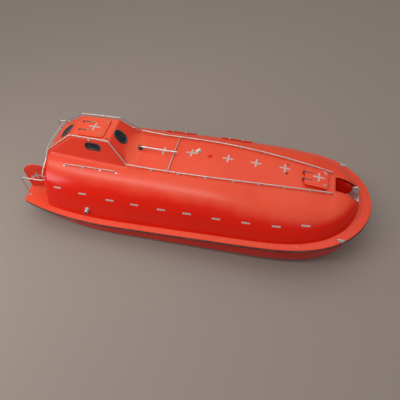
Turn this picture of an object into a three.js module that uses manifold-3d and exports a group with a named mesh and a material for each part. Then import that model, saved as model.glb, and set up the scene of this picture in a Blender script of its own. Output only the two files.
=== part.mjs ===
// Totally enclosed lifeboat with a conning tower, in millimetres.
// +X points to the bow, +Y to port and +Z up. The origin is amidships on the centreline, at the water.
import * as THREE from 'three';
import { mergeVertices } from 'three/addons/utils/BufferGeometryUtils.js';
import Module from 'manifold-3d';

const wasm = await Module();
wasm.setup();

// Driving dimensions of the plan: half widths of the gunwale ledge and of the canopy that stands on it.
const LEDGE = { half: 2000, nose: 5160, tail: -5300 };
const CANOPY = { half: 1820, nose: 4820, tail: -4440 };
const FORE_FROM = 1600;
const FORE_POWER = 3.2;
const FORE_ROOT = 1.9;
const AFT_FROM = -2000;
const AFT_REACH = 3300;
const AFT_TAPER = 0.21;
const AFT_POWER = 2.6;

// Heights.
const GUNWALE = 760;
const SHEER_FROM = -2600;
const SHEER_BOW = 430;
const SHEER_POWER = 1.15;
const ROOF = 2130;
const ROOF_DROP = 280;
const ROOF_DROP_FROM = 0;
const ROOF_END = 3900;
const BOTTOM = -420;
const KEEL_FOOT = -670;

// Wall thicknesses and clearances.
const SHELL = 40;
const HULL_WALL = 50;
const PLATE = 40;
const GAP = 0.3;
const RUNNING = 1;
const LID_CLEAR = 6;

// Plan of a shell: parallel amidships, a full round bow and a slight taper to the stern.
function planHalf(plan, x, inset = 0) {
  const half = plan.half - inset;
  if (x > FORE_FROM) {
    const t = Math.min(1, (x - FORE_FROM) / (plan.nose - inset - FORE_FROM));
    return half * Math.pow(1 - Math.pow(t, FORE_POWER), 1 / FORE_ROOT);
  }
  if (x < AFT_FROM) {
    return half * (1 - AFT_TAPER * Math.pow((AFT_FROM - x) / AFT_REACH, AFT_POWER));
  }
  return half;
}

// Height of the gunwale ledge's top face: level aft, then rising evenly to the bow.
function sheer(x) {
  const t = Math.max(0, x - SHEER_FROM) / (LEDGE.nose - SHEER_FROM);
  return GUNWALE + SHEER_BOW * Math.pow(t, SHEER_POWER);
}

// Crown of the canopy: level aft, falling gently forward, then rounding down to the ledge at the nose.
function roofTop(x, inset = 0) {
  const slope = ROOF_DROP * Math.pow(Math.max(0, Math.min(x, ROOF_END) - ROOF_DROP_FROM) / ROOF_END, 2);
  const top = ROOF - slope - inset;
  if (x <= ROOF_END) {
    return top;
  }
  const t = Math.min(1, (x - ROOF_END) / (CANOPY.nose - inset - ROOF_END));
  return sheer(x) + (top - sheer(x)) * Math.pow(1 - Math.pow(t, 2.2), 1 / 1.8);
}

function solidOf(geometry) {
  const bare = geometry.clone();
  bare.deleteAttribute('normal');
  bare.deleteAttribute('uv');
  const merged = mergeVertices(bare, 1e-3);
  return new wasm.Manifold(new wasm.Mesh({
    numProp: 3,
    vertProperties: new Float32Array(merged.attributes.position.array),
    triVerts: new Uint32Array(merged.index.array),
  }));
}

function geometryOf(solid) {
  const mesh = solid.getMesh();
  const geometry = new THREE.BufferGeometry();
  geometry.setAttribute('position', new THREE.BufferAttribute(new Float32Array(mesh.vertProperties), 3));
  geometry.setIndex(new THREE.BufferAttribute(new Uint32Array(mesh.triVerts), 1));
  geometry.computeVertexNormals();
  return geometry;
}

// Joins equal-length point rings into one closed body, capped at both ends.
function loft(rings) {
  const count = rings[0].length;
  const positions = rings.flat(2);
  const index = [];
  rings.slice(1).forEach((ring, k) => {
    for (let i = 0; i < count; i += 1) {
      const a = k * count + i;
      const b = k * count + (i + 1) % count;
      index.push(a, b, b + count, a, b + count, a + count);
    }
  });
  [[0, 1], [rings.length - 1, -1]].forEach(([row, side]) => {
    const ring = rings[row];
    const centre = positions.length / 3;
    [0, 1, 2].forEach((axis) => positions.push(ring.reduce((sum, p) => sum + p[axis], 0) / count));
    for (let i = 0; i < count; i += 1) {
      const a = row * count + i;
      const b = row * count + (i + 1) % count;
      index.push(centre, ...(side > 0 ? [b, a] : [a, b]));
    }
  });
  const geometry = new THREE.BufferGeometry();
  geometry.setAttribute('position', new THREE.Float32BufferAttribute(positions, 3));
  geometry.setIndex(index);
  const solid = solidOf(geometry);
  if (solid.volume() > 0) {
    return solid;
  }
  geometry.setIndex(index.map((v, i) => index[i - (i % 3) + [0, 2, 1][i % 3]]));
  return solidOf(geometry);
}

// Rounds the inner corners of an open polyline; corners are [u, v, radius] and each arc has the same steps.
function rounded(corners, steps) {
  const points = [];
  corners.forEach(([u, v, radius = 0], i) => {
    if (!radius) {
      points.push([u, v]);
      return;
    }
    const before = new THREE.Vector2(corners[i - 1][0] - u, corners[i - 1][1] - v);
    const after = new THREE.Vector2(corners[i + 1][0] - u, corners[i + 1][1] - v);
    const reach = Math.min(radius, before.length() * 0.48, after.length() * 0.48);
    const from = before.setLength(reach);
    const to = after.setLength(reach);
    for (let k = 0; k <= steps; k += 1) {
      const t = k / steps;
      const w = [(1 - t) * (1 - t), t * t];
      points.push([u + from.x * w[0] + to.x * w[1], v + from.y * w[0] + to.y * w[1]]);
    }
  });
  return points;
}

function box(low, high) {
  const size = high.map((v, i) => v - low[i]);
  const geometry = new THREE.BoxGeometry(...size);
  geometry.translate(...low.map((v, i) => v + size[i] / 2));
  return solidOf(geometry);
}

// A rod between two points.
function rod(from, to, radius, sides = 10) {
  const a = new THREE.Vector3(...from);
  const b = new THREE.Vector3(...to);
  const geometry = new THREE.CylinderGeometry(radius, radius, a.distanceTo(b), sides);
  geometry.applyQuaternion(new THREE.Quaternion().setFromUnitVectors(
    new THREE.Vector3(0, 1, 0), b.clone().sub(a).normalize()));
  geometry.translate((a.x + b.x) / 2, (a.y + b.y) / 2, (a.z + b.z) / 2);
  return solidOf(geometry);
}

// A bent tube through corner points, with bends of one radius.
function bentTube(corners, radius, bend = 90, stepLength = 150) {
  const points = corners.map((p) => new THREE.Vector3(...p));
  const path = new THREE.CurvePath();
  let start = points[0];
  for (let i = 1; i < points.length - 1; i += 1) {
    const before = points[i - 1].clone().sub(points[i]);
    const after = points[i + 1].clone().sub(points[i]);
    const reach = Math.min(bend, before.length() * 0.45, after.length() * 0.45);
    const from = points[i].clone().add(before.setLength(reach));
    const to = points[i].clone().add(after.setLength(reach));
    path.add(new THREE.LineCurve3(start, from));
    path.add(new THREE.QuadraticBezierCurve3(from, points[i], to));
    start = to;
  }
  path.add(new THREE.LineCurve3(start, points[points.length - 1]));
  const section = new THREE.Shape();
  section.absarc(0, 0, radius, 0, Math.PI * 2, false);
  const steps = Math.max(8, Math.round(path.getLength() / stepLength));
  const geometry = new THREE.ExtrudeGeometry(section, {
    steps, curveSegments: 4, bevelEnabled: false, extrudePath: path });
  return solidOf(geometry);
}

function union(solids) {
  return solids.reduce((sum, solid) => sum.add(solid));
}

const group = new THREE.Group();

const FINISHES = {
  gelcoat: { color: 0xd8301c, roughness: 0.3, metalness: 0 },
  canopyRed: { color: 0xe0341c, roughness: 0.35, metalness: 0 },
  ledgeRed: { color: 0xe8482c, roughness: 0.45, metalness: 0 },
  rubber: { color: 0x1c1a1a, roughness: 0.8, metalness: 0 },
  steel: { color: 0xb9a89c, roughness: 0.4, metalness: 0.7 },
  galvanised: { color: 0x8e9496, roughness: 0.6, metalness: 0.6 },
  bronze: { color: 0xb08d4c, roughness: 0.35, metalness: 0.9 },
  window: { color: 0x14161a, roughness: 0.1, metalness: 0 },
  grey: { color: 0x8b8f90, roughness: 0.7, metalness: 0 },
  orangeSeat: { color: 0xd65a2e, roughness: 0.6, metalness: 0 },
  amber: { color: 0xe0a020, roughness: 0.3, metalness: 0 },
  lightCase: { color: 0xd9dcb8, roughness: 0.5, metalness: 0 },
};

function piece(name, solid, finish) {
  const mesh = new THREE.Mesh(geometryOf(solid), new THREE.MeshStandardMaterial(FINISHES[finish]));
  mesh.name = name;
  group.add(mesh);
  return solid;
}

// Stations share one grid along the parallel body and crowd towards the round bow.
const GRID = 600;
function stations(from, to, curved) {
  const list = [from];
  for (let x = FORE_FROM - 12 * GRID; x < Math.min(FORE_FROM, to) - 1; x += GRID) {
    if (x > from + 1) {
      list.push(x);
    }
  }
  const knee = Math.max(from, Math.min(FORE_FROM, to));
  for (let i = knee > from ? 0 : 1; i <= curved; i += 1) {
    list.push(knee + (to - knee) * Math.sin(Math.PI / 2 * i / curved));
  }
  return list;
}

function mirrored(half) {
  return [...half, ...half.slice().reverse().filter(([y]) => y > 1e-6).map(([y, z]) => [-y, z])];
}

// Canopy body at an inset from its outer skin: flank, round shoulder, sloping side and crowned roof.
const SHOULDER = { width: 0.795, height: 0.7, radius: 700 };
const RAIL_LINE = { half: 740, foreHalf: 400, power: 1.6, height: 0.975 };

function railHalf(x) {
  const t = Math.max(0, Math.min(1, x / ROOF_END));
  return RAIL_LINE.half - (RAIL_LINE.half - RAIL_LINE.foreHalf) * Math.pow(t, RAIL_LINE.power);
}

// The after corner of the canopy and its stern wall is rounded: how far the skin draws in towards the end.
const TAIL_ROUND = { end: -4501, radius: 150 };

function tailPull(x) {
  const t = Math.min(1, Math.max(0, 1 - (x - TAIL_ROUND.end) / TAIL_ROUND.radius));
  return TAIL_ROUND.radius * (1 - Math.sqrt(1 - t * t));
}

function canopyRing(x, inset, foot) {
  const draw = inset + tailPull(x);
  const half = Math.max(planHalf(CANOPY, x, draw), 4);
  const low = foot ?? sheer(x);
  const base = sheer(x);
  const top = Math.max(roofTop(x, draw), base + 4);
  const rail = Math.min(railHalf(x), half * 0.55);
  const scale = Math.min(1, half / CANOPY.half, (top - base) / (ROOF - GUNWALE));
  const corners = [
    [half, low],
    [half, base],
    [half * SHOULDER.width, base + (top - base) * SHOULDER.height, SHOULDER.radius * scale],
    [rail, base + (top - base) * RAIL_LINE.height, 200 * scale],
    [0, top],
  ];
  return mirrored(rounded(corners, 3)).map(([y, z]) => [x, y, z]);
}

function canopyBody(inset, from, to, footAt) {
  return loft(stations(from, to, 12).map((x) => canopyRing(x, inset, footAt(x))));
}

// Hull body at an inset from its outer skin: keel line, round bilge and flared topside.
const HULL = { half: 1950, nose: 5090, tail: -5280, bilgeHalf: 1820, bilgeNose: 4950, bilgeZ: -150, radius: 600 };

function keelLine(x, inset) {
  if (x < -2600) {
    return BOTTOM + inset + 750 * Math.pow((-2600 - x) / 2680, 1.6);
  }
  const t = Math.max(0, (x - 3000) / (HULL.nose - inset - 3000));
  return BOTTOM + inset + (sheer(x) - PLATE - BOTTOM - inset) * Math.pow(t, 5);
}

function hullRing(x, inset, raise) {
  const top = sheer(x) - PLATE - GAP;
  const half = Math.max(planHalf(HULL, x, inset), 6);
  const keel = Math.min(keelLine(x, inset), top - 8);
  const bilgeHalf = Math.max(planHalf({ half: HULL.bilgeHalf, nose: HULL.bilgeNose }, x, inset), 4);
  const bilgeZ = Math.max(HULL.bilgeZ, keel + 0.28 * (top - keel));
  const corners = [
    [0, keel],
    [bilgeHalf, bilgeZ, HULL.radius * bilgeHalf / HULL.bilgeHalf],
    [half, top],
    ...(raise ? [[half, top + raise]] : []),
    [0, top + raise],
  ];
  return mirrored(rounded(corners, 5)).map(([y, z]) => [x, y, z]);
}

function hullBody(inset, from, to, raise = 0) {
  return loft(stations(from, to, 12).map((x) => hullRing(x, inset, raise)));
}

const hullOuter = hullBody(0, HULL.tail, HULL.nose - 2);
const CABIN_AFT = -4380;
const hullCavity = hullBody(HULL_WALL, CABIN_AFT, 4300, 60);
const hullInside = hullBody(HULL_WALL + RUNNING, CABIN_AFT, 4300);

// Propeller, its shaft and the steering nozzle sit under the rising run of the stern.
const SCREW = { x: -4720, z: -310, radius: 250, hub: 48, hubLength: 150, blades: 4 };
const NOZZLE = { bore: 270, wall: 28, length: 250, stock: 25 };
const STOCK_TOP = 420;

const hull = hullOuter
  .subtract(hullCavity)
  .subtract(rod([SCREW.x, 0, -100], [SCREW.x, 0, STOCK_TOP + 10], NOZZLE.stock + RUNNING, 16));
piece('hull_shell', hull, 'gelcoat');

const KEEL = { half: 35, fore: 3300, aft: -4400, heelAft: -4800, heelDepth: 50 };
const keelBlock = box([KEEL.aft, -KEEL.half, KEEL_FOOT], [KEEL.fore, KEEL.half, 200])
  .add(box([KEEL.heelAft, -KEEL.half, KEEL_FOOT], [KEEL.aft + 50, KEEL.half, KEEL_FOOT + KEEL.heelDepth]));
const SHAFT_BORE = 34;
const keel = keelBlock
  .add(rod([KEEL.aft - 60, 0, SCREW.z], [KEEL.aft + 700, 0, SCREW.z], 62, 16))
  .subtract(hullOuter.translate(0, 0, -GAP))
  .subtract(rod([KEEL.aft - 80, 0, SCREW.z], [KEEL.aft + 500, 0, SCREW.z], SHAFT_BORE, 16))
  .subtract(rod([SCREW.x, 0, KEEL_FOOT + 12], [SCREW.x, 0, KEEL_FOOT + 80], 20 + RUNNING, 16));
piece('keel_and_skeg', keel, 'gelcoat');

function blade(angle) {
  const rings = [[0.16, 95, 58], [0.5, 150, 38], [0.85, 165, 24], [1, 70, 20]].map(([r, chord, pitch]) => {
    const radius = r * SCREW.radius;
    const twist = THREE.MathUtils.degToRad(pitch);
    return [[-0.5, 0], [0, -0.06], [0.5, 0], [0, 0.06]].map(([along, across]) => {
      const u = chord * along;
      const v = 90 * across;
      return [SCREW.x + u * Math.sin(twist) + v * Math.cos(twist), u * Math.cos(twist) - v * Math.sin(twist), radius];
    });
  });
  return loft(rings).translate(-SCREW.x, 0, 0).rotate([angle, 0, 0]).translate(SCREW.x, 0, SCREW.z);
}

const propeller = union([
  rod([SCREW.x - SCREW.hubLength / 2, 0, SCREW.z], [SCREW.x + SCREW.hubLength / 2, 0, SCREW.z], SCREW.hub, 20),
  rod([SCREW.x, 0, SCREW.z], [KEEL.aft + 480, 0, SCREW.z], SHAFT_BORE - RUNNING, 16),
  ...Array.from({ length: SCREW.blades }, (_, i) => blade(i * 360 / SCREW.blades)),
]);
piece('propeller', propeller, 'bronze');

const nozzleProfile = [
  [NOZZLE.bore, -NOZZLE.length / 2],
  [NOZZLE.bore + NOZZLE.wall * 0.6, -NOZZLE.length / 2],
  [NOZZLE.bore + NOZZLE.wall, NOZZLE.length / 4],
  [NOZZLE.bore + NOZZLE.wall * 0.7, NOZZLE.length / 2],
  [NOZZLE.bore + 6, NOZZLE.length / 2],
  [NOZZLE.bore, NOZZLE.length / 3],
  [NOZZLE.bore, -NOZZLE.length / 2],
].map(([r, h]) => new THREE.Vector2(r, h));
const nozzleRing = new THREE.LatheGeometry(nozzleProfile, 40);
nozzleRing.rotateZ(-Math.PI / 2);
nozzleRing.translate(SCREW.x, 0, SCREW.z);
const nozzleTop = SCREW.z + NOZZLE.bore + 4;
const nozzleFoot = SCREW.z - NOZZLE.bore - 4;
const nozzle = union([
  solidOf(nozzleRing),
  rod([SCREW.x, 0, nozzleTop], [SCREW.x, 0, STOCK_TOP], NOZZLE.stock, 16),
  rod([SCREW.x, 0, KEEL_FOOT + 14], [SCREW.x, 0, nozzleFoot], 20, 16),
]);
piece('steering_nozzle', nozzle, 'gelcoat');

// Gunwale ledge round both sides and the bow, and the rubber fender under its outer edge.
const LEDGE_WIDTH = 260;
const FENDER = { proud: 14, depth: 62, inner: 60 };

function outline(inset, from) {
  const side = stations(from, LEDGE.nose - inset, 14).map((x) => [x, planHalf(LEDGE, x, inset)]);
  return [...side, ...side.slice(0, -1).reverse().map(([x, y]) => [x, -y])];
}

function band(outer, inner, low, high, from) {
  const out = outline(outer, from);
  const inn = outline(inner, from);
  return loft(out.map(([x, y], i) => {
    const [ix, iy] = inn[i];
    return [[x, y, sheer(x) + high], [ix, iy, sheer(ix) + high], [ix, iy, sheer(ix) + low], [x, y, sheer(x) + low]];
  }));
}

const DECK_SPLIT = CANOPY.tail;
const ledge = band(0, LEDGE_WIDTH, -PLATE, 0, DECK_SPLIT);
piece('gunwale_ledge', ledge, 'ledgeRed');
const fenderBand = band(-FENDER.proud, FENDER.inner, -PLATE - GAP - FENDER.depth, -PLATE - GAP, HULL.tail);
piece('rubber_fender', fenderBand.subtract(hullBody(-RUNNING, HULL.tail, HULL.nose - 2, PLATE)), 'rubber');

// Stern deck, open to the sky behind the cabin, with its curved after edge.
const deckShape = new THREE.Shape();
const deckStations = [DECK_SPLIT - GAP, -4700, -5000, -5180, LEDGE.tail];
deckShape.moveTo(deckStations[0], -planHalf(LEDGE, deckStations[0]));
deckStations.slice(1).forEach((x) => deckShape.lineTo(x, -planHalf(LEDGE, x)));
deckShape.quadraticCurveTo(LEDGE.tail - 180, 0, LEDGE.tail, planHalf(LEDGE, LEDGE.tail));
deckStations.slice(0, -1).reverse().forEach((x) => deckShape.lineTo(x, planHalf(LEDGE, x)));
const DECK_TOP = sheer(CANOPY.tail);
const deckGeometry = new THREE.ExtrudeGeometry(deckShape, { depth: PLATE, bevelEnabled: false, curveSegments: 10 });
deckGeometry.translate(0, 0, DECK_TOP - PLATE);
piece('stern_deck', solidOf(deckGeometry), 'ledgeRed');

// Bow deck inside the ledge, under the open notch of the fore release hook.
const BOW_DECK_FROM = 3900;
const bowDeckEdge = stations(DECK_SPLIT, LEDGE.nose - LEDGE_WIDTH - RUNNING, 14);
const bowDeck = loft(bowDeckEdge.map((x) => {
  const half = Math.max(planHalf(LEDGE, x, LEDGE_WIDTH + RUNNING), 2);
  const z = sheer(x);
  return [[x, half, z], [x, -half, z], [x, -half, z - PLATE], [x, half, z - PLATE]];
})).intersect(box([BOW_DECK_FROM, -2000, 0], [LEDGE.nose, 2000, 2000]));
piece('bow_deck', bowDeck, 'ledgeRed');

// A hinge along local X: the moving knuckle carries the pin, and two fixed ears reach down to what holds them.
const HINGE = { knuckle: 13, half: 20, pin: 6, pinHalf: 31, play: 0.7, earFrom: 22, earThick: 8, earHalf: 14 };

function hingeKnuckle() {
  return rod([-HINGE.half, 0, 0], [HINGE.half, 0, 0], HINGE.knuckle, 12)
    .add(rod([-HINGE.pinHalf, 0, 0], [HINGE.pinHalf, 0, 0], HINGE.pin, 12));
}

function hingeEars(drop) {
  const { earFrom, earThick, earHalf } = HINGE;
  const ear = box([earFrom, -earHalf, -drop], [earFrom + earThick, earHalf, earHalf]);
  const bore = rod([-40, 0, 0], [40, 0, 0], HINGE.pin + HINGE.play, 12);
  return ear.add(ear.translate(-2 * earFrom - earThick, 0, 0)).subtract(bore);
}

// Canopy shell with the hook notch in its nose and the openings for the tower, hatches and side doors.
const NOTCH = { half: 250, from: 4000, wall: 35 };
const TOWER = { aft: -4470, fore: -1960, halfAft: 630, halfFore: 720, topAft: -3600, topFore: -2470,
  topHalfAft: 470, topHalfFore: 500, top: 2740, foot: 1900, corner: 90 };
const FORE_HATCH = { x: 3440, half: 270, lidHalf: 335, coaming: 40, thick: 32 };
const SIDE_HATCH = { centres: [-850, 960], half: 390, lidHalf: 470, top: 1190, low: 1400, thick: 26, hingeY: 1150 };

const CANOPY_TIP = CANOPY.nose - 3;
const canopyOuter = canopyBody(0, CANOPY.tail, CANOPY_TIP, (x) => sheer(x) + GAP);
const canopyCavity = canopyBody(SHELL, CANOPY.tail - 100, CANOPY.nose - SHELL - 40, (x) => sheer(x) - 50);
const notchWalls = box([NOTCH.from - NOTCH.wall, -NOTCH.half - NOTCH.wall, 900], [4740, NOTCH.half + NOTCH.wall, 2300]);
const notchSpace = box([NOTCH.from, -NOTCH.half, 900], [5100, NOTCH.half, 2300]);
const towerHole = box([-4360, -600, 1700], [-2240, 600, 2300]);

const slopeAngle = Math.atan(2 * ROOF_DROP * FORE_HATCH.x / (ROOF_END * ROOF_END));
function onForeRoof(solid) {
  return solid.rotate([0, THREE.MathUtils.radToDeg(slopeAngle), 0]).translate(FORE_HATCH.x, 0, roofTop(FORE_HATCH.x));
}

function roundedPlate(half, radius, low, high, halfY = half) {
  const shape = new THREE.Shape();
  shape.moveTo(half - radius, -halfY);
  shape.absarc(half - radius, -halfY + radius, radius, -Math.PI / 2, 0, false);
  shape.absarc(half - radius, halfY - radius, radius, 0, Math.PI / 2, false);
  shape.absarc(-half + radius, halfY - radius, radius, Math.PI / 2, Math.PI, false);
  shape.absarc(-half + radius, -halfY + radius, radius, Math.PI, Math.PI * 1.5, false);
  const geometry = new THREE.ExtrudeGeometry(shape, { depth: high - low, bevelEnabled: false, curveSegments: 3 });
  geometry.translate(0, 0, low);
  return solidOf(geometry);
}

const foreHatchHole = onForeRoof(roundedPlate(FORE_HATCH.half, 60, -200, 200));
const sideHatchHoles = SIDE_HATCH.centres.map((x) => box(
  [x - SIDE_HATCH.half, SIDE_HATCH.top + 50, SIDE_HATCH.low + 60], [x + SIDE_HATCH.half, 2200, 2300]));

const canopyShell = canopyOuter.subtract(canopyCavity)
  .add(canopyOuter.intersect(notchWalls))
  .subtract(notchSpace)
  .subtract(towerHole)
  .subtract(foreHatchHole);
const canopyOpen = sideHatchHoles.reduce((sum, hole) => sum.subtract(hole), canopyShell);

function skinZ(x, y) {
  const ring = canopyRing(x, 0).filter((p) => p[1] >= 0);
  const k = ring.findIndex((p) => p[1] <= Math.abs(y) && p[2] > sheer(x) + 10);
  const a = ring[k - 1];
  const b = ring[k];
  return a[2] + (b[2] - a[2]) * (Math.abs(y) - a[1]) / (b[1] - a[1] || 1);
}

// Each side hatch hangs from two hinges whose axis runs fore and aft above its top edge.
const sideHingeZ = skinZ(0, SIDE_HATCH.hingeY) + 28;
const SIDE_HINGE_SPREAD = 210;
function atSideHinges(x, solid) {
  return union([-1, 1].map((s) => solid.translate(x + s * SIDE_HINGE_SPREAD, SIDE_HATCH.hingeY, sideHingeZ)));
}
const canopy = canopyOpen.add(union(SIDE_HATCH.centres.map((x) => atSideHinges(x, hingeEars(58)))));
piece('canopy_shell', canopy, 'canopyRed');

// Stern wall of the cabin with its door opening, off the centreline to starboard.
const WALL = { fore: -4440 - GAP, thick: 60 };
const DOOR = { y: -620, half: 280, low: 1000, top: 1860, leafLap: 45, thick: 34, openAngle: 105 };
const wallAft = WALL.fore - WALL.thick;
function wallBlock(grow) {
  return loft([wallAft, -4494, -4480, -4462, WALL.fore].map((x) => canopyRing(x, -grow, DECK_TOP + GAP - grow)));
}
const stern = wallBlock(0);

function archPlate(half, low, top, from, to) {
  const shape = new THREE.Shape();
  const spring = top - half * 0.8;
  shape.moveTo(-half + 60, low);
  shape.lineTo(half - 60, low);
  shape.quadraticCurveTo(half, low, half, low + 60);
  shape.lineTo(half, spring);
  shape.absellipse(0, spring, half, top - spring, 0, Math.PI, false, 0);
  shape.lineTo(-half, low + 60);
  shape.quadraticCurveTo(-half, low, -half + 60, low);
  const geometry = new THREE.ExtrudeGeometry(shape, { depth: to - from, bevelEnabled: false, curveSegments: 10 });
  geometry.rotateX(Math.PI / 2);
  geometry.rotateZ(Math.PI / 2);
  geometry.translate(from, 0, 0);
  return solidOf(geometry);
}

const doorHole = archPlate(DOOR.half, DOOR.low, DOOR.top, wallAft - 50, WALL.fore + 50).translate(0, DOOR.y, 0);
const doorLow = DOOR.low - DOOR.leafLap;
const doorTop = DOOR.top + DOOR.leafLap;
const DOOR_HINGE = { x: wallAft - LID_CLEAR - DOOR.thick / 2, y: DOOR.y - DOOR.half - DOOR.leafLap - 24,
  levels: [doorLow + 220, doorTop - 300] };
function atDoorHinges(solid) {
  const upright = solid.rotate([0, -90, 0]);
  return union(DOOR_HINGE.levels.map((z) => upright.translate(DOOR_HINGE.x, DOOR_HINGE.y, z)));
}
piece('stern_wall', stern.subtract(doorHole).add(atDoorHinges(hingeEars(45))), 'canopyRed');

const leafAft = wallAft - LID_CLEAR - DOOR.thick;
const leafStrap = box([-HINGE.half, 0, -8], [HINGE.half, 60, 8]);
const leafClosed = archPlate(DOOR.half + DOOR.leafLap, doorLow, doorTop, leafAft, leafAft + DOOR.thick)
  .translate(0, DOOR.y, 0)
  .add(atDoorHinges(hingeKnuckle().add(leafStrap)));
const leaf = leafClosed
  .translate(-DOOR_HINGE.x, -DOOR_HINGE.y, 0)
  .rotate([0, 0, DOOR.openAngle])
  .translate(DOOR_HINGE.x, DOOR_HINGE.y, 0);
piece('stern_door', leaf, 'canopyRed');

// Conning tower over the after part of the roof, with one window in each face and a roof hatch.
function towerBody(inset, topInset, foot) {
  const levels = [[foot, 0, 0], [TOWER.top - topInset - 50, 0, 1], [TOWER.top - topInset - 14, 14, 1], [TOWER.top - topInset, 50, 1]];
  return loft(levels.map(([z, pull, solid]) => {
    const t = (z - 2130) / (TOWER.top - 2130);
    const mix = (a, b) => a + (b - a) * t;
    const cut = inset + pull * solid;
    const xa = mix(TOWER.aft, TOWER.topAft) + cut;
    const xf = mix(TOWER.fore, TOWER.topFore) - cut;
    const ya = mix(TOWER.halfAft, TOWER.topHalfAft) - cut;
    const yf = mix(TOWER.halfFore, TOWER.topHalfFore) - cut;
    const half = rounded([[xa, 0], [xa, ya, TOWER.corner], [xf, yf, TOWER.corner], [xf, 0]], 3);
    return [...half, ...half.slice(1, -1).reverse().map(([x, y]) => [x, -y])].map(([x, y]) => [x, y, z]);
  }));
}

const towerOuter = towerBody(0, 0, TOWER.foot);
const towerInner = towerBody(SHELL, SHELL, TOWER.foot - 50);
const towerSkin = towerOuter.subtract(towerInner);
const canopyClear = canopyBody(-GAP, CANOPY.tail, CANOPY_TIP, () => 700)
  .add(union([-GAP, 0, RUNNING].map((shift) => wallBlock(GAP).translate(shift, 0, 0))));
const TOP_HATCH = { x: (TOWER.topAft + TOWER.topFore) / 2, half: 300, lidHalf: 390, thick: 34 };

// Each window: a rounded slot through one wall, half width, half height and corner radius.
const WINDOWS = [
  { name: 'window_fore', axis: 'x', at: [-2290, 0, 2520], width: 165, height: 165 },
  { name: 'window_aft', axis: 'x', at: [-4020, 0, 2460], width: 210, height: 120 },
  { name: 'window_port', axis: 'y', at: [-2940, 620, 2530], width: 220, height: 85 },
  { name: 'window_starboard', axis: 'y', at: [-2940, -620, 2530], width: 220, height: 85 },
];

function windowPrism({ axis, at, width, height }, shrink) {
  const w = width - shrink;
  const h = height - shrink;
  const radius = Math.min(w, h) * 0.92;
  const prism = roundedPlate(w, radius, -330, 330, h);
  const turned = axis === 'x' ? prism.rotate([90, 0, 90]) : prism.rotate([90, 0, 0]);
  return turned.translate(...at);
}

const windowHoles = WINDOWS.map((w) => windowPrism(w, 0));
const towerRoofHole = roundedPlate(TOP_HATCH.half, 60, -200, 200).translate(TOP_HATCH.x, 0, TOWER.top);
const topLidLow = TOWER.top + LID_CLEAR;
const TOP_HINGE = { x: TOP_HATCH.x - TOP_HATCH.lidHalf - 30, z: topLidLow + 27, spread: 170 };
function atTopHinges(solid) {
  const across = solid.rotate([0, 0, 90]);
  return union([-1, 1].map((s) => across.translate(TOP_HINGE.x, s * TOP_HINGE.spread, TOP_HINGE.z)));
}
const tower = windowHoles.reduce((sum, hole) => sum.subtract(hole), towerSkin)
  .subtract(towerRoofHole)
  .subtract(canopyClear)
  .subtract(box([wallAft - 500, -900, TOWER.foot - 100], [wallAft, 900, ROOF + 200]))
  .add(atTopHinges(hingeEars(TOP_HINGE.z - TOWER.top + 20)));
piece('conning_tower', tower, 'canopyRed');

const paneSkin = towerBody(10, 10, TOWER.foot).subtract(towerBody(22, 22, TOWER.foot - 50));
WINDOWS.forEach((w) => piece(w.name, windowPrism(w, GAP).intersect(paneSkin).subtract(canopyClear), 'window'));

// Lids, all closed: tower roof hatch, fore hatch and two hatches in the port side.
const lidStrap = box([-HINGE.half, -260, -3], [HINGE.half, 4, 12]);
const topLid = roundedPlate(TOP_HATCH.lidHalf, 90, topLidLow, topLidLow + TOP_HATCH.thick)
  .translate(TOP_HATCH.x, 0, 0)
  .add(atTopHinges(hingeKnuckle().add(lidStrap)));
piece('tower_hatch_lid', topLid, 'canopyRed');

const foreLidLow = FORE_HATCH.coaming + LID_CLEAR;
const FORE_HINGE = { x: -FORE_HATCH.lidHalf - 42, z: foreLidLow + 24, spread: 130 };
function atForeHinges(solid) {
  const across = solid.rotate([0, 0, 90]);
  return union([-1, 1].map((s) => across.translate(FORE_HINGE.x, s * FORE_HINGE.spread, FORE_HINGE.z)));
}
const hingePads = union([-1, 1].map((s) => {
  const y = s * FORE_HINGE.spread;
  return box([FORE_HINGE.x - 20, y - 40, -40], [-FORE_HATCH.half - 20, y + 40, 14]);
}));
const coaming = onForeRoof(roundedPlate(FORE_HATCH.half + 34, 80, -80, FORE_HATCH.coaming)
  .add(hingePads)
  .add(atForeHinges(hingeEars(FORE_HINGE.z)))
  .subtract(roundedPlate(FORE_HATCH.half + GAP, 60, -220, 220)))
  .subtract(canopyClear);
piece('fore_hatch_coaming', coaming, 'canopyRed');
const foreLid = onForeRoof(roundedPlate(FORE_HATCH.lidHalf, 80, foreLidLow, foreLidLow + FORE_HATCH.thick)
  .add(atForeHinges(hingeKnuckle().add(lidStrap))));
piece('fore_hatch_lid', foreLid, 'canopyRed');

const lidSkin = canopyBody(-LID_CLEAR - SIDE_HATCH.thick, -2600, 2600, () => 700)
  .subtract(canopyBody(-LID_CLEAR, -2700, 2700, () => 600));
SIDE_HATCH.centres.forEach((x, i) => {
  const panel = lidSkin.intersect(box(
    [x - SIDE_HATCH.lidHalf, SIDE_HATCH.top, SIDE_HATCH.low], [x + SIDE_HATCH.lidHalf, 2300, 2300]));
  const armEnd = [0, 230, skinZ(0, SIDE_HATCH.hingeY + 230) + 34 - sideHingeZ];
  const arm = hingeKnuckle().add(rod([0, 0, 0], armEnd, 11, 8));
  piece(`side_hatch_${i === 0 ? 'aft' : 'fore'}`, panel.add(atSideHinges(x, arm)), 'canopyRed');
});

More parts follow.
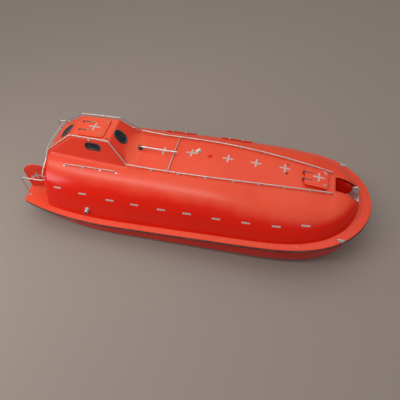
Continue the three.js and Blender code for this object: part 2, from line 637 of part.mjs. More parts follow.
// Cabin: floor, side and centre benches, a plain engine block, the steersman's seat and the helm console.
const FLOOR_TOP = -90;
const BENCH_TOP = 330;
const AISLE = 760;
piece('cabin_floor', hullInside.intersect(box([CABIN_AFT + GAP, -AISLE, FLOOR_TOP - 40], [4150, AISLE, FLOOR_TOP])), 'grey');
[['starboard', -1], ['port', 1]].forEach(([side, s]) => {
  const inner = s * (AISLE + GAP);
  const outer = s * 2000;
  const block = box([-4300, Math.min(inner, outer), -300], [3900, Math.max(inner, outer), BENCH_TOP]);
  piece(`bench_${side}`, hullInside.intersect(block), 'orangeSeat');
});
piece('bench_centre', box([-1900, -230, FLOOR_TOP + GAP], [3100, 230, BENCH_TOP]), 'orangeSeat');
piece('engine_block', box([-3780, -260, FLOOR_TOP + GAP], [-3000, 260, 460]), 'grey');
const seat = box([-2960, 20, FLOOR_TOP + GAP], [-2780, 220, 1490])
  .add(box([-3120, -90, 1480], [-2700, 330, 1540]))
  .add(box([-3150, -90, 1480], [-3100, 330, 1950]));
piece('coxswain_seat', seat, 'grey');
piece('helm_console', box([-2460, -120, FLOOR_TOP + GAP], [-2330, 360, 1650])
  .add(box([-2520, -120, 1500], [-2330, 360, 1650])), 'grey');

// Grab rails on short feet, cut clean where the feet land on the shells.
const RAIL = { radius: 17, stand: 58, foot: 10 };
const towerClear = towerBody(-GAP, -GAP, TOWER.foot);
const shells = canopyClear.add(towerClear);

function overSkin(x, y, lift = RAIL.stand) {
  return [x, y, skinZ(x, y) + lift];
}

function foot([x, y, z], drop = 110) {
  return rod([x, y, z], [x, y, z - drop], RAIL.foot, 8);
}

[['starboard', -1], ['port', 1]].forEach(([side, s]) => {
  const roofPoints = [3900, 3300, 2600, 1900, 1200, 400, -400, -1200].map((x) => overSkin(x, s * railHalf(x) * 0.97));
  const nose = overSkin(3960, s * railHalf(3960) * 0.97, -20);
  const slantFoot = [TOWER.fore + 30, s * 735, 2180];
  const topFore = [TOWER.topFore + 25, s * (TOWER.topHalfFore + 5), TOWER.top + 50];
  const topAft = [TOWER.topAft - 25, s * (TOWER.topHalfAft + 5), TOWER.top + 50];
  const knuckle = [-4475, s * 625, 2185];
  const edge = [[-4470, s * 820, 2010], [-4492, s * 1130, 1830], [-4492, s * 1325, 1650]];
  const end = [-4420, s * 1150, 1650];
  const roofTube = bentTube([nose, ...roofPoints, slantFoot, topFore, topAft, knuckle, ...edge, end], RAIL.radius, 110);
  const topMiddle = topFore.map((v, i) => (v + topAft[i]) / 2);
  const feet = [...roofPoints.slice(1), topMiddle].map((p) => foot(p));
  piece(`rail_${side}`, union([roofTube, ...feet]).subtract(shells), 'steel');
  const shoulder = [-3780, -3250, -2700, -2250].map((x) => overSkin(x, s * 940, 62));
  const shoulderTube = bentTube([overSkin(-3830, s * 940, -15), ...shoulder, overSkin(-2200, s * 940, -15)], 14, 50);
  piece(`shoulder_rail_${side}`, union([shoulderTube, foot(shoulder[1]), foot(shoulder[2])]).subtract(shells), 'steel');
  const post = [-5230, s * 1325, 1560];
  const railFoot = [post[0], post[1], DECK_TOP + 5];
  const sternRail = bentTube([[-4400, s * 1240, 1545], [-4560, s * 1325, 1560], post, railFoot], RAIL.radius, 70)
    .add(rod([post[0], post[1], DECK_TOP + GAP], [post[0], post[1], DECK_TOP + 10], 42, 16));
  piece(`stern_rail_${side}`, sternRail.subtract(shells), 'steel');
});

const CROSS_X = -700;
const crossHalf = railHalf(CROSS_X) * 0.97 - RAIL.radius - 2;
const crossZ = overSkin(CROSS_X, crossHalf)[2];
const crossRail = bentTube([[CROSS_X, -crossHalf, crossZ], [CROSS_X, 0, crossZ + 22], [CROSS_X, crossHalf, crossZ]], RAIL.radius, 300)
  .add(foot([CROSS_X, 0, crossZ + 10], 130));
piece('cross_rail', crossRail.subtract(shells), 'steel');
const knuckleRail = bentTube([[-4500, -595, 2190], [-4515, 0, 2195], [-4500, 595, 2190]], RAIL.radius, 200)
  .add(union([-300, 300].map((y) => rod([-4505, y, 2192], [-4440, y, 2150], RAIL.foot, 8))));
piece('knuckle_rail', knuckleRail.subtract(shells), 'steel');

// Folding mast: hinged in a two-eared bracket ahead of the tower and lying forward on the cross rail.
const MAST = { x: -1740, z: 2225, radius: 21, tip: -600, ear: 8, gap: 26 };
const mastBracket = union([-1, 1].map((s) => box(
  [MAST.x - 45, s > 0 ? MAST.gap : -MAST.gap - MAST.ear, 2110], [MAST.x + 45, s > 0 ? MAST.gap + MAST.ear : -MAST.gap, MAST.z + 30])))
  .add(box([MAST.x - 60, -60, 2100], [MAST.x + 60, 60, MAST.z - 68]))
  .add(rod([MAST.x, -44, MAST.z], [MAST.x, 44, MAST.z], 8, 12));
piece('mast_bracket', mastBracket.subtract(canopyClear), 'steel');
const mastRise = crossZ + 22 + RAIL.radius + MAST.radius + 5;
const mastSlope = (mastRise - MAST.z) / (CROSS_X - MAST.x);
const mastTipZ = MAST.z + mastSlope * (MAST.tip - MAST.x);
const mast = rod([MAST.x - 26, 0, MAST.z - 26 * mastSlope], [MAST.tip, 0, mastTipZ], MAST.radius, 14)
  .subtract(rod([MAST.x, -60, MAST.z], [MAST.x, 60, MAST.z], 8 + RUNNING, 12));
piece('folding_mast', mast, 'steel');

const sternDeck = solidOf(deckGeometry);
const decksClear = bowDeck.add(sternDeck).translate(0, 0, GAP);

// Release hooks: two cheek plates with a hook between them, on the stern deck and in the bow notch.
const HOOK = { cheek: 14, gap: 26 };
function hookCheeks(x, z) {
  const shape = new THREE.Shape();
  shape.moveTo(-150, 0);
  shape.lineTo(150, 0);
  shape.lineTo(110, 300);
  shape.quadraticCurveTo(100, 400, 20, 410);
  shape.lineTo(-60, 380);
  shape.lineTo(-150, 0);
  return union([-1, 1].map((s) => {
    const geometry = new THREE.ExtrudeGeometry(shape, { depth: HOOK.cheek, bevelEnabled: false, curveSegments: 6 });
    geometry.rotateX(Math.PI / 2);
    return solidOf(geometry).translate(x, s > 0 ? HOOK.gap + HOOK.cheek : -HOOK.gap, z);
  }))
    .add(box([x - 170, -110, z - 20], [x + 170, 110, z + 26]))
    .add(rod([x + 20, -60, z + 330], [x + 20, 60, z + 330], 20, 14))
    .add(rod([x - 60, -55, z + 120], [x - 60, 55, z + 120], 16, 14));
}
function hookTongue(x, z) {
  const shape = new THREE.Shape();
  shape.moveTo(-60, -60);
  shape.quadraticCurveTo(70, -70, 90, 40);
  shape.quadraticCurveTo(95, 150, 10, 165);
  shape.quadraticCurveTo(-90, 160, -100, 90);
  shape.lineTo(-55, 75);
  shape.quadraticCurveTo(-40, 115, 5, 110);
  shape.quadraticCurveTo(45, 95, 40, 50);
  shape.quadraticCurveTo(20, 20, -60, 10);
  shape.lineTo(-60, -60);
  const geometry = new THREE.ExtrudeGeometry(shape, { depth: 38, bevelEnabled: false, curveSegments: 6 });
  geometry.rotateX(Math.PI / 2);
  return solidOf(geometry).translate(x, 19, z + 330)
    .subtract(rod([x + 20, -60, z + 330], [x + 20, 60, z + 330], 20 + RUNNING, 14));
}
// The fore hook stands on a pedestal, the aft one straight on its deck.
[['fore', 4580, sheer(4580), 190], ['aft', -4980, DECK_TOP, 0]].forEach(([end, x, deck, pedestal]) => {
  const z = deck + pedestal;
  const seat = box([x - 130, -80, deck - 20], [x + 130, 80, z + 10]);
  piece(`${end}_hook_frame`, hookCheeks(x, z).add(seat).subtract(decksClear), 'galvanised');
  piece(`${end}_release_hook`, hookTongue(x, z), 'galvanised');
});

// Small fittings: bow cleats on the ledge, the exhaust outlet, a roof vent and the tower lamp.
[['starboard', -1], ['port', 1]].forEach(([side, s]) => {
  const x = 4330;
  const y = s * (planHalf(LEDGE, x) - 60);
  const cleat = box([x - 70, y - 30, sheer(x) - 20], [x + 70, y + 30, sheer(x) + 25])
    .add(rod([x - 30, y, sheer(x) + 20], [x - 30, y, sheer(x) + 75], 12, 10))
    .add(rod([x + 30, y, sheer(x) + 20], [x + 30, y, sheer(x) + 75], 12, 10))
    .add(rod([x - 95, y, sheer(x) + 75], [x + 95, y, sheer(x) + 75], 16, 10));
  piece(`bow_cleat_${side}`, cleat.subtract(ledge.translate(0, 0, GAP)), 'galvanised');
});
const EXHAUST = { x: -3050, y: -1820, z: 1000, radius: 55 };
const exhaust = rod([EXHAUST.x, EXHAUST.y - 25, EXHAUST.z], [EXHAUST.x, EXHAUST.y + 200, EXHAUST.z], EXHAUST.radius, 16)
  .subtract(rod([EXHAUST.x, EXHAUST.y - 60, EXHAUST.z], [EXHAUST.x, EXHAUST.y + 10, EXHAUST.z], EXHAUST.radius - 14, 16));
piece('exhaust_outlet', exhaust.subtract(canopyClear), 'galvanised');
const VENT = { x: 350, y: 120, radius: 60, top: 75 };
const ventFoot = skinZ(VENT.x, VENT.y);
piece('roof_vent', rod([VENT.x, VENT.y, ventFoot - 40], [VENT.x, VENT.y, ventFoot + VENT.top], VENT.radius, 16)
  .subtract(canopyClear), 'canopyRed');
piece('tower_lamp', rod([TOWER.topFore - 70, -380, TOWER.top + GAP], [TOWER.topFore - 70, -380, TOWER.top + 70], 28, 16), 'amber');
const LIGHT = { x: -20, y: 215, halfLength: 100, halfWidth: 52, height: 80, turn: 55 };
const lightFoot = skinZ(LIGHT.x, LIGHT.y);
const lightCase = roundedPlate(LIGHT.halfLength, 45, lightFoot - 40, lightFoot + LIGHT.height, LIGHT.halfWidth)
  .rotate([0, 0, LIGHT.turn])
  .translate(LIGHT.x, LIGHT.y, 0);
piece('roof_light', lightCase.subtract(canopyClear), 'lightCase');

export default group;
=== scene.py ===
"""Looks of a totally enclosed lifeboat, in metres: +X to the bow, +Y to port, +Z up, origin at the water."""
import math

import bmesh
import bpy
import numpy as np
from mathutils import Matrix, Vector
from mathutils.bvhtree import BVHTree


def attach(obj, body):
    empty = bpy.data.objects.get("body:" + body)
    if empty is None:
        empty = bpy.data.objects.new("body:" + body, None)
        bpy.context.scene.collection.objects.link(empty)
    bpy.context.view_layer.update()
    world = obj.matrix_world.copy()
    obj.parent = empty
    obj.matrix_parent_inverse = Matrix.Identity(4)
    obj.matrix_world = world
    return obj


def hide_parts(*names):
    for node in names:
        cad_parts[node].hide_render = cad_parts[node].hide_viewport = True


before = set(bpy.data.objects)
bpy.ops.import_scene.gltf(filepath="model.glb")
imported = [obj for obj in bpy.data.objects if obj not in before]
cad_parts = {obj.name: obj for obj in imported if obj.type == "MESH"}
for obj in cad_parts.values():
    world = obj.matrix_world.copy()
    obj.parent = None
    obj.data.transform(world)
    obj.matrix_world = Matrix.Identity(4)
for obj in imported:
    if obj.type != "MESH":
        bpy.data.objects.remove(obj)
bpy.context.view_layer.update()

# The view is from above the starboard side, a little forward of amidships,
# as from a high rail beside the boat.
camera_data = bpy.data.cameras.new("view")
camera_data.sensor_width = 36.0
camera_data.lens = 36.3
camera_data.shift_x = -0.013
camera_data.shift_y = 0.0185
camera = bpy.data.objects.new("view", camera_data)
bpy.context.scene.collection.objects.link(camera)
azimuth, elevation, roll = math.radians(15.06), math.radians(52.90), math.radians(-2.83)
back = Vector((math.sin(azimuth) * math.cos(elevation), -math.cos(azimuth) * math.cos(elevation),
               math.sin(elevation)))
camera.location = (2.304, -7.952, 10.621)
camera.rotation_mode = "QUATERNION"
camera.rotation_quaternion = back.to_track_quat("Z", "Y") @ Matrix.Rotation(roll, 3, "Z").to_quaternion()
bpy.context.scene.camera = camera

# The floor is pale, plain and level with the water. The sky brightens towards its top.
# Three lamps stand for daylight: a long strip high to starboard draws the shine along the after shoulder,
# a broad one lies overhead and a low one lights the starboard quarter.
floor_mesh = bpy.data.meshes.new("floor")
floor_mesh.from_pydata([(-60, -60, 0), (60, -60, 0), (60, 60, 0), (-60, 60, 0)], [], [(0, 1, 2, 3)])
floor = bpy.data.objects.new("floor", floor_mesh)
bpy.context.scene.collection.objects.link(floor)
floor_paint = bpy.data.materials.new("pale_floor")
floor_paint.use_nodes = True
floor_paint.node_tree.nodes["Principled BSDF"].inputs["Base Color"].default_value = (0.29, 0.235, 0.2, 1)
floor_paint.node_tree.nodes["Principled BSDF"].inputs["Roughness"].default_value = 0.85
floor_mesh.materials.append(floor_paint)

bpy.context.scene.view_settings.view_transform = "Standard"
world = bpy.data.worlds.new("studio")
bpy.context.scene.world = world
world.use_nodes = True
sky = world.node_tree.nodes
sky["Background"].inputs["Color"].default_value = (0.97, 0.98, 1.0, 1)
sky_way = sky.new("ShaderNodeTexCoord")
sky_height = sky.new("ShaderNodeSeparateXYZ")
sky_light = sky.new("ShaderNodeMapRange")
sky_light.interpolation_type = "SMOOTHSTEP"
for socket, value in zip(list(sky_light.inputs)[1:5], (0.3, 0.9, 0.16, 0.9)):
    socket.default_value = value
world.node_tree.links.new(sky_way.outputs["Generated"], sky_height.inputs[0])
world.node_tree.links.new(sky_height.outputs["Z"], sky_light.inputs[0])
world.node_tree.links.new(sky_light.outputs[0], sky["Background"].inputs["Strength"])


def softbox(name, place, aim, size_x, size_y, power):
    """A rectangular lamp at place that faces aim."""
    data = bpy.data.lights.new(name, "AREA")
    data.shape = "RECTANGLE"
    data.size = size_x
    data.size_y = size_y
    data.energy = power
    lamp = bpy.data.objects.new(name, data)
    bpy.context.scene.collection.objects.link(lamp)
    lamp.location = place
    lamp.rotation_mode = "QUATERNION"
    lamp.rotation_quaternion = (Vector(place) - Vector(aim)).to_track_quat("Z", "Y")


softbox("strip", (-7.5, -7.0, 13.75), (-7.5, -1.2, 1.85), 15, 1.3, 760)
softbox("overhead", (0, 4, 13), (0, 0, 1), 16, 12, 300)
softbox("quarter", (-11, -7, 5), (-4, -1, 1.5), 4, 3, 240)


# The hull is one deep moulding of glass-reinforced plastic with a red-orange gelcoat.
# It is parallel amidships, full and round at the bow, and rises to a shallow run under the stern deck.
FORE_BODY = 1.6
AFTER_BODY = -2.0
RUN_FROM = -2.6
BEDDING = 0.0003
DECK_TOP = 0.76
LEDGE_PLAN = {"half": 2.0, "nose": 5.16}
HULL_PLAN = {"half": 1.95, "nose": 5.09}
HULL_TAIL = -5.28
HULL_BOTTOM = -0.42
HULL_WALL = 0.05
LEDGE_THICK = 0.04
BILGE_PLAN = {"half": 1.82, "nose": 4.95}
BILGE_Z = -0.15
BILGE_RADIUS = 0.6
HULL_RED = (0.7, 0.012, 0.003)
# The paler red of chalked gelcoat, also used as a painted sheen of the bright sky on faces that look up.
FADED_AND_SHEEN_RED = (0.86, 0.1, 0.034)
DUST = (0.3, 0.1, 0.06)


def plan_half(plan, x, inset=0.0):
    """Half width of a plan outline at a station: parallel amidships, round forward, tapering aft."""
    half = plan["half"] - inset
    if x > FORE_BODY:
        t = min(1.0, (x - FORE_BODY) / (plan["nose"] - inset - FORE_BODY))
        return half * (1 - t**3.2) ** (1 / 1.9)
    if x < AFTER_BODY:
        return half * (1 - 0.21 * ((AFTER_BODY - x) / 3.3) ** 2.6)
    return half


def sheer(x):
    """Height of the gunwale ledge's top."""
    return DECK_TOP + 0.43 * (max(0.0, x - RUN_FROM) / 7.76) ** 1.15


def rounded(corners, steps):
    """A line through corners (u, v, reach, share), rounded by the reach or at most a share of a side."""
    points = []
    for i, (u, v, *arc) in enumerate(corners):
        at = np.array((u, v))
        if not arc:
            points.append(at)
            continue
        before = np.array(corners[i - 1][:2]) - at
        after = np.array(corners[i + 1][:2]) - at
        reach, share = (*arc, 0.48)[:2]
        run = min(reach, share * np.hypot(*before), share * np.hypot(*after))
        before *= run / np.hypot(*before)
        after *= run / np.hypot(*after)
        points += [at + before * (1 - t) ** 2 + after * t * t for t in np.linspace(0, 1, steps + 1)]
    return points


def both_sides(half_ring, x):
    """A ring at station x from its port half, which starts and ends on or off the centreline."""
    port = [(x, y, z) for y, z in half_ring]
    return port + [(x, -y, z) for x, y, z in reversed(port) if y > 1e-6]


def stations(low, high, step, fore_rows):
    """Stations at an even step up to the fore body, then crowding towards the nose."""
    even = np.linspace(low, FORE_BODY, max(2, round((FORE_BODY - low) / step)))
    fore = [FORE_BODY + (high - FORE_BODY) * math.sin(math.pi / 2 * i / fore_rows)
            for i in range(1, fore_rows + 1)]
    return [*even, *fore]


def hull_ring(x, inset=0.0, top_rise=0.0):
    """The hull's section, closed across its top."""
    top = sheer(x) - LEDGE_THICK
    half = max(plan_half(HULL_PLAN, x, inset), 0.006)
    if x < RUN_FROM:
        keel = HULL_BOTTOM + inset + 0.75 * ((RUN_FROM - x) / 2.68) ** 1.6
    else:
        t = max(0.0, (x - 3.0) / (HULL_PLAN["nose"] - inset - 3.0))
        keel = HULL_BOTTOM + inset + (top - HULL_BOTTOM - inset) * t**5
    keel = min(keel, top - 0.008)
    bilge = max(plan_half(BILGE_PLAN, x, inset), 0.004)
    bilge_z = max(BILGE_Z, keel + 0.28 * (top - keel))
    corners = [(0, keel), (bilge, bilge_z, BILGE_RADIUS * bilge / BILGE_PLAN["half"]), (half, top)]
    if top_rise:
        corners.append((half, top + top_rise))
    return both_sides(rounded(corners + [(0, top + top_rise)], 16), x)


def mesh_of(points, faces):
    """A mesh with shared corners and its faces pointing out."""
    mesh = bpy.data.meshes.new("part")
    mesh.from_pydata([tuple(p) for p in points], [], faces)
    work = bmesh.new()
    work.from_mesh(mesh)
    bmesh.ops.remove_doubles(work, verts=work.verts, dist=1e-6)
    bmesh.ops.recalc_face_normals(work, faces=work.faces)
    work.to_mesh(mesh)
    work.free()
    return mesh


def loft(rows, capped=True):
    """A skin through closed rings of equal length."""
    count, wide = len(rows), len(rows[0])
    faces = []
    for k in range(count - 1):
        for i in range(wide):
            a, b = k * wide + i, k * wide + (i + 1) % wide
            faces.append((a, b, b + wide, a + wide))
    if capped:
        faces += [tuple(range(wide)), tuple(range((count - 1) * wide, count * wide))]
    return mesh_of([p for row in rows for p in row], faces)


def joined(*meshes):
    """Several meshes as one."""
    work = bmesh.new()
    for mesh in meshes:
        work.from_mesh(mesh)
    whole = bpy.data.meshes.new("part")
    work.to_mesh(whole)
    work.free()
    return whole


def carved(mesh, tools, operation="DIFFERENCE"):
    """The mesh with each tool cut from it, or the part of it that each tool holds."""
    block = bpy.data.objects.new("block", mesh)
    bpy.context.scene.collection.objects.link(block)
    cutters = []
    for tool in tools:
        cutter = bpy.data.objects.new("cutter", tool)
        bpy.context.scene.collection.objects.link(cutter)
        cutters.append(cutter)
        step = block.modifiers.new("cut", "BOOLEAN")
        step.operation = operation
        step.solver = "EXACT"
        step.object = cutter
    graph = bpy.context.evaluated_depsgraph_get()
    result = bpy.data.meshes.new_from_object(block.evaluated_get(graph))
    for used in [block, *cutters]:
        bpy.data.objects.remove(used)
    return result


class Signal:
    """An output of a finish's node: arithmetic on it adds Math nodes."""

    def __init__(self, finish, socket):
        self.finish = finish
        self.socket = socket

    def math(self, operation, a, b):
        return self.finish.node("ShaderNodeMath", {"operation": operation}, a, b)

    def __add__(self, other):
        return self.math("ADD", self, other)

    def __sub__(self, other):
        return self.math("SUBTRACT", self, other)

    def __rsub__(self, other):
        return self.math("SUBTRACT", other, self)

    def __mul__(self, other):
        return self.math("MULTIPLY", self, other)

    __radd__ = __add__
    __rmul__ = __mul__


class Finish:
    """A material that is built as an expression of its nodes, with the slot of the pieces that have it."""

    def __init__(self, name, slot, **constants):
        self.slot = slot
        self.material = bpy.data.materials.new(name)
        self.material.use_nodes = True
        self.tree = self.material.node_tree
        self.shader = self.tree.nodes["Principled BSDF"]
        self.feed(**constants)
        self.place = self.node("ShaderNodeTexCoord", {}, out="Object")
        self.facing = self.node("ShaderNodeNewGeometry", {}, out="Normal")

    def put(self, socket, value):
        if isinstance(value, Signal):
            self.tree.links.new(value.socket, socket)
        elif isinstance(value, tuple) and socket.type == "RGBA":
            socket.default_value = (*value, 1)
        else:
            socket.default_value = value

    def feed(self, **values):
        for name, value in values.items():
            self.put(self.shader.inputs[name.replace("_", " ").title().replace("Ior", "IOR")], value)

    def node(self, kind, settings, *values, out=0, **named):
        node = self.tree.nodes.new(kind)
        for key, value in settings.items():
            if key == "stops":
                ramp = node.color_ramp.elements
                while len(ramp) < len(value):
                    ramp.new(0.5)
                for stop, (position, colour) in zip(ramp, value):
                    stop.position = position
                    stop.color = (*colour, 1)
            else:
                setattr(node, key, value)
        for index, value in enumerate(values):
            self.put(node.inputs[index], value)
        for key, value in named.items():
            self.put(node.inputs[key.replace("_", " ")], value)
        return Signal(self, node.outputs[out])

    def noise(self, scale, detail=4, stretch=(1, 1, 1)):
        """Noise over the boat's own coordinates, drawn out where stretch is under 1."""
        place = self.node("ShaderNodeVectorMath", {"operation": "MULTIPLY"}, self.place, stretch)
        return self.node("ShaderNodeTexNoise", {}, Vector=place, Scale=scale, Detail=detail, Roughness=0.55)

    def ramp(self, value, low, high):
        """0 below low, 1 above high and smooth between."""
        return self.node("ShaderNodeMapRange", {"interpolation_type": "SMOOTHSTEP"}, value, low, high)

    def axis(self, vector, name):
        """One component of a vector."""
        return self.node("ShaderNodeSeparateXYZ", {}, vector, out=name)

    def mix(self, factor, a, b):
        """Colour a, turning to colour b as the factor goes to 1."""
        node = self.tree.nodes.new("ShaderNodeMix")
        node.data_type = "RGBA"
        for index, value in ((0, factor), (6, a), (7, b)):
            self.put(node.inputs[index], value)
        return Signal(self, node.outputs[2])

    def bump(self, height, distance):
        self.feed(normal=self.node("ShaderNodeBump", {}, Strength=1.0, Distance=distance, Height=height))


def gelcoat(name, slot, deep, gloss, chalk_and_sheen):
    """Gelcoat: glossy on the flanks, chalked and paler where it faces up, the paler colour partly a painted
    sheen of the sky, with streaks, dust and fine scuffs.
    """
    coat = Finish(name, slot, roughness=gloss, specular_ior_level=0.3)
    # Faces that look up are mixed towards the paler red, partly real chalking and partly a painted sky sheen,
    # so the flanks turn deeper red towards their foot.
    up = coat.ramp(coat.axis(coat.facing, "Z"), 0.45, 0.98)
    cloud = coat.noise(1.1, 5)
    fade_and_sheen = coat.ramp(up + (cloud - 0.5) * 0.7, 0.25, 0.95) * chalk_and_sheen
    colour = coat.mix(fade_and_sheen, deep, FADED_AND_SHEEN_RED)
    drift = coat.ramp(coat.noise(0.5, 3), 0.4, 0.7) * 0.25
    colour = coat.mix(drift, colour, tuple(0.82 * c for c in deep))
    streak = coat.ramp(coat.noise(3.2, 5, (2.2, 2.2, 0.22)), 0.6, 0.8) * (1 - up) * 0.3
    specks = coat.ramp(coat.noise(38, 3), 0.66, 0.76) * 0.3
    grime = coat.ramp(streak + specks, 0.0, 1.0)
    colour = coat.mix(grime, colour, DUST)
    scratch = coat.ramp(coat.noise(16, 2, (0.14, 1, 3.0)), 0.7, 0.74) * 0.22
    colour = coat.mix(scratch, colour, FADED_AND_SHEEN_RED)
    coat.feed(base_color=colour, roughness=gloss + fade_and_sheen * 0.12 + grime * 0.3 + scratch * 0.3)
    ripple = coat.noise(2.4, 2) * 0.6 + coat.noise(90, 2) * 0.02 + coat.noise(600, 2) * 0.004
    coat.bump(ripple, 0.006)
    return coat


hull_gelcoat = gelcoat("hull_gelcoat_finish", "hull_gelcoat", HULL_RED, 0.24, 0.6)


def fit(name, mesh, finish, *nodes, body="boat", sharp=35, slot=None):
    """Makes a mesh a piece of the boat, with its finish, body and the nodes it stands for; the slot argument
    is not used.
    """
    mesh.materials.clear()
    mesh.materials.append(finish.material)
    mesh.shade_smooth()
    mesh.set_sharp_from_angle(angle=math.radians(sharp))
    part = bpy.data.objects.new(name, mesh)
    bpy.context.scene.collection.objects.link(part)
    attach(part, body)
    if nodes:
        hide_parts(*nodes)


hull_outer = loft([hull_ring(x) for x in stations(HULL_TAIL, HULL_PLAN["nose"] - 0.002, 0.12, 48)])
hull_room = loft([hull_ring(x, HULL_WALL, 0.06) for x in stations(-4.38, 4.3, 0.25, 14)])
fit("hull", carved(hull_outer, [hull_room]), hull_gelcoat, "hull_shell")


# The canopy is the upper moulding: upright flanks, a full round shoulder and a flat crowned roof.
# It is bolted down on the gunwale ledge, and its nose is notched for the fore release hook.
CANOPY_PLAN = {"half": 1.82, "nose": 4.82}
CANOPY_TAIL = -4.44
WALL_AFT = -4.5003
TAIL_ROUND = 0.15
ROOF = 2.13
ROOF_FALL = 0.28
ROOF_END = 3.9
SHELL = 0.04
NOTCH = {"half": 0.25, "from": 4.0, "wall": 0.035}
CANOPY_RED = (0.8, 0.013, 0.003)


def tail_pull(x):
    """How far the skin draws in at the rounded after corner."""
    t = min(1.0, max(0.0, 1 - (x - WALL_AFT + 0.0007) / TAIL_ROUND))
    return TAIL_ROUND * (1 - math.sqrt(1 - t * t))


def roof_top(x, inset=0.0):
    """Height of the roof's crown."""
    top = ROOF - ROOF_FALL * (max(0.0, min(x, ROOF_END)) / ROOF_END) ** 2 - inset
    if x <= ROOF_END:
        return top
    t = min(1.0, (x - ROOF_END) / (CANOPY_PLAN["nose"] - inset - ROOF_END))
    return sheer(x) + (top - sheer(x)) * (1 - t**2.2) ** (1 / 1.8)


def rail_half(x):
    """Half the distance between the roof's two edges, where the grab rails stand."""
    return 0.74 - 0.34 * max(0.0, min(1.0, x / ROOF_END)) ** 1.6


def canopy_half(x, inset, foot):
    """The port half of the canopy's section, from its foot to the centreline."""
    draw = inset + tail_pull(x)
    half = max(plan_half(CANOPY_PLAN, x, draw), 0.004)
    base = sheer(x)
    top = max(roof_top(x, draw), base + 0.004)
    scale = min(1, half / CANOPY_PLAN["half"], (top - base) / (ROOF - DECK_TOP))
    corners = [
        (half, foot),
        (half, base + BEDDING),
        (0.795 * half, base + 0.7 * (top - base), 0.7 * scale, 0.68),
        (min(rail_half(x), 0.55 * half), base + 0.975 * (top - base), 0.2 * scale),
        (0, top),
    ]
    return rounded(corners, 20)


def canopy_body(inset, low, high, foot_drop=0.0, step=0.12, fore_rows=60):
    """The canopy as a solid, at an inset from its outer skin."""
    places = stations(low, high, step, fore_rows)
    places = sorted(set(places) | {x for x in np.linspace(WALL_AFT, WALL_AFT + TAIL_ROUND, 12) if x > low})
    return loft([both_sides(canopy_half(x, inset, sheer(x) - foot_drop), x) for x in places])


def tree_of(mesh):
    """A search tree of a mesh's faces."""
    return BVHTree.FromPolygons([v.co.copy() for v in mesh.vertices],
                                [tuple(p.vertices) for p in mesh.polygons])


def box(low, high):
    """A plain block, used to cut openings."""
    (x0, y0, z0), (x1, y1, z1) = low, high
    return loft([[(x, y0, z0), (x, y1, z0), (x, y1, z1), (x, y0, z1)] for x in (x0, x1)])


def rounded_ring(half_u, half_v, radius):
    """A rectangle's outline with rounded corners."""
    ring = []
    for su, sv, start in ((1, 1, 0), (-1, 1, 90), (-1, -1, 180), (1, -1, 270)):
        for a in np.radians(np.linspace(start, start + 90, 9)):
            ring.append((su * (half_u - radius) + radius * math.cos(a),
                         sv * (half_v - radius) + radius * math.sin(a)))
    return ring


def slab(ring, low, high):
    """A block with a plan outline (x, y)."""
    return loft([[(x, y, z) for x, y in ring] for z in (low, high)])


def rounded_plate(half_x, half_y, radius, low, high):
    """An upright block with rounded corners in plan."""
    return slab(rounded_ring(half_x, half_y, radius), low, high)


def placed(mesh, matrix):
    """The mesh moved by a matrix."""
    mesh.transform(matrix)
    return mesh


FORE_HATCH_X = 3.44
fore_roof = Matrix.Translation((FORE_HATCH_X, 0, roof_top(FORE_HATCH_X))) @ Matrix.Rotation(
    math.atan(2 * ROOF_FALL * FORE_HATCH_X / ROOF_END**2), 4, "Y")
SIDE_HATCHES = {"aft": -0.85, "fore": 0.96}
canopy_gelcoat = gelcoat("canopy_gelcoat_finish", "canopy_gelcoat", CANOPY_RED, 0.2, 0.7)

canopy_tip = CANOPY_PLAN["nose"] - 0.003
notch_room = box((NOTCH["from"], -NOTCH["half"], 0.9), (5.1, NOTCH["half"], 2.3))
canopy_cuts = [
    canopy_body(SHELL, CANOPY_TAIL - 0.1, canopy_tip - 0.077, 0.05, 0.3, 24),
    box((-4.36, -0.6, 1.7), (-2.24, 0.6, 2.3)),
    notch_room,
    placed(rounded_plate(0.27, 0.27, 0.06, -0.2, 0.2), fore_roof),
    *[box((x - 0.39, 1.24, 1.46), (x + 0.39, 2.2, 2.3)) for x in SIDE_HATCHES.values()],
]
canopy_skin = canopy_body(0, CANOPY_TAIL, canopy_tip)
notch_block = carved(canopy_skin.copy(),
                     [box((NOTCH["from"] - NOTCH["wall"], -0.285, 0.9), (4.74, 0.285, 2.3))], "INTERSECT")
fit("canopy", carved(canopy_skin, canopy_cuts), canopy_gelcoat, "canopy_shell", sharp=30)
fit("notch_walls", carved(notch_block, [notch_room]), canopy_gelcoat, sharp=30)


# The gunwale ledge is a flat moulded shelf where the flanges of hull and canopy are bolted together.
# It runs along both sides and round the bow, with a soft outer edge and a low welt under the canopy.
LEDGE_WIDTH = 0.26
LEDGE_RED = (0.82, 0.034, 0.01)
LEDGE_SECTION = [(0.004, -0.04), (0, -0.03), (0, -0.012), (0.004, -0.004), (0.012, 0), (0.15, 0),
                 (0.165, 0.004), (0.26, 0.004), (0.26, -0.04)]


def outline(inset, low):
    """The boat's plan from the after starboard corner round the bow to the after port corner."""
    side = [(x, -plan_half(LEDGE_PLAN, x, inset))
            for x in stations(low, LEDGE_PLAN["nose"] - inset, 0.15, 60)]
    return side + [(x, -y) for x, y in reversed(side[:-1])]


def plan_band(section, near, far, low):
    """A band that follows the plan: section points are (distance in from near, height over the sheer)."""
    rows = []
    for (ox, oy), (ix, iy) in zip(outline(near, low), outline(far, low)):
        row = []
        for inward, height in section:
            share = inward / (far - near)
            x, y = ox + (ix - ox) * share, oy + (iy - oy) * share
            row.append((x, y, sheer(x) + height))
        rows.append(row)
    return loft(rows)


ledge_gelcoat = gelcoat("ledge_gelcoat_finish", "ledge_gelcoat", LEDGE_RED, 0.3, 0.5)
fit("ledge", plan_band(LEDGE_SECTION, 0, LEDGE_WIDTH, CANOPY_TAIL), ledge_gelcoat, "gunwale_ledge")


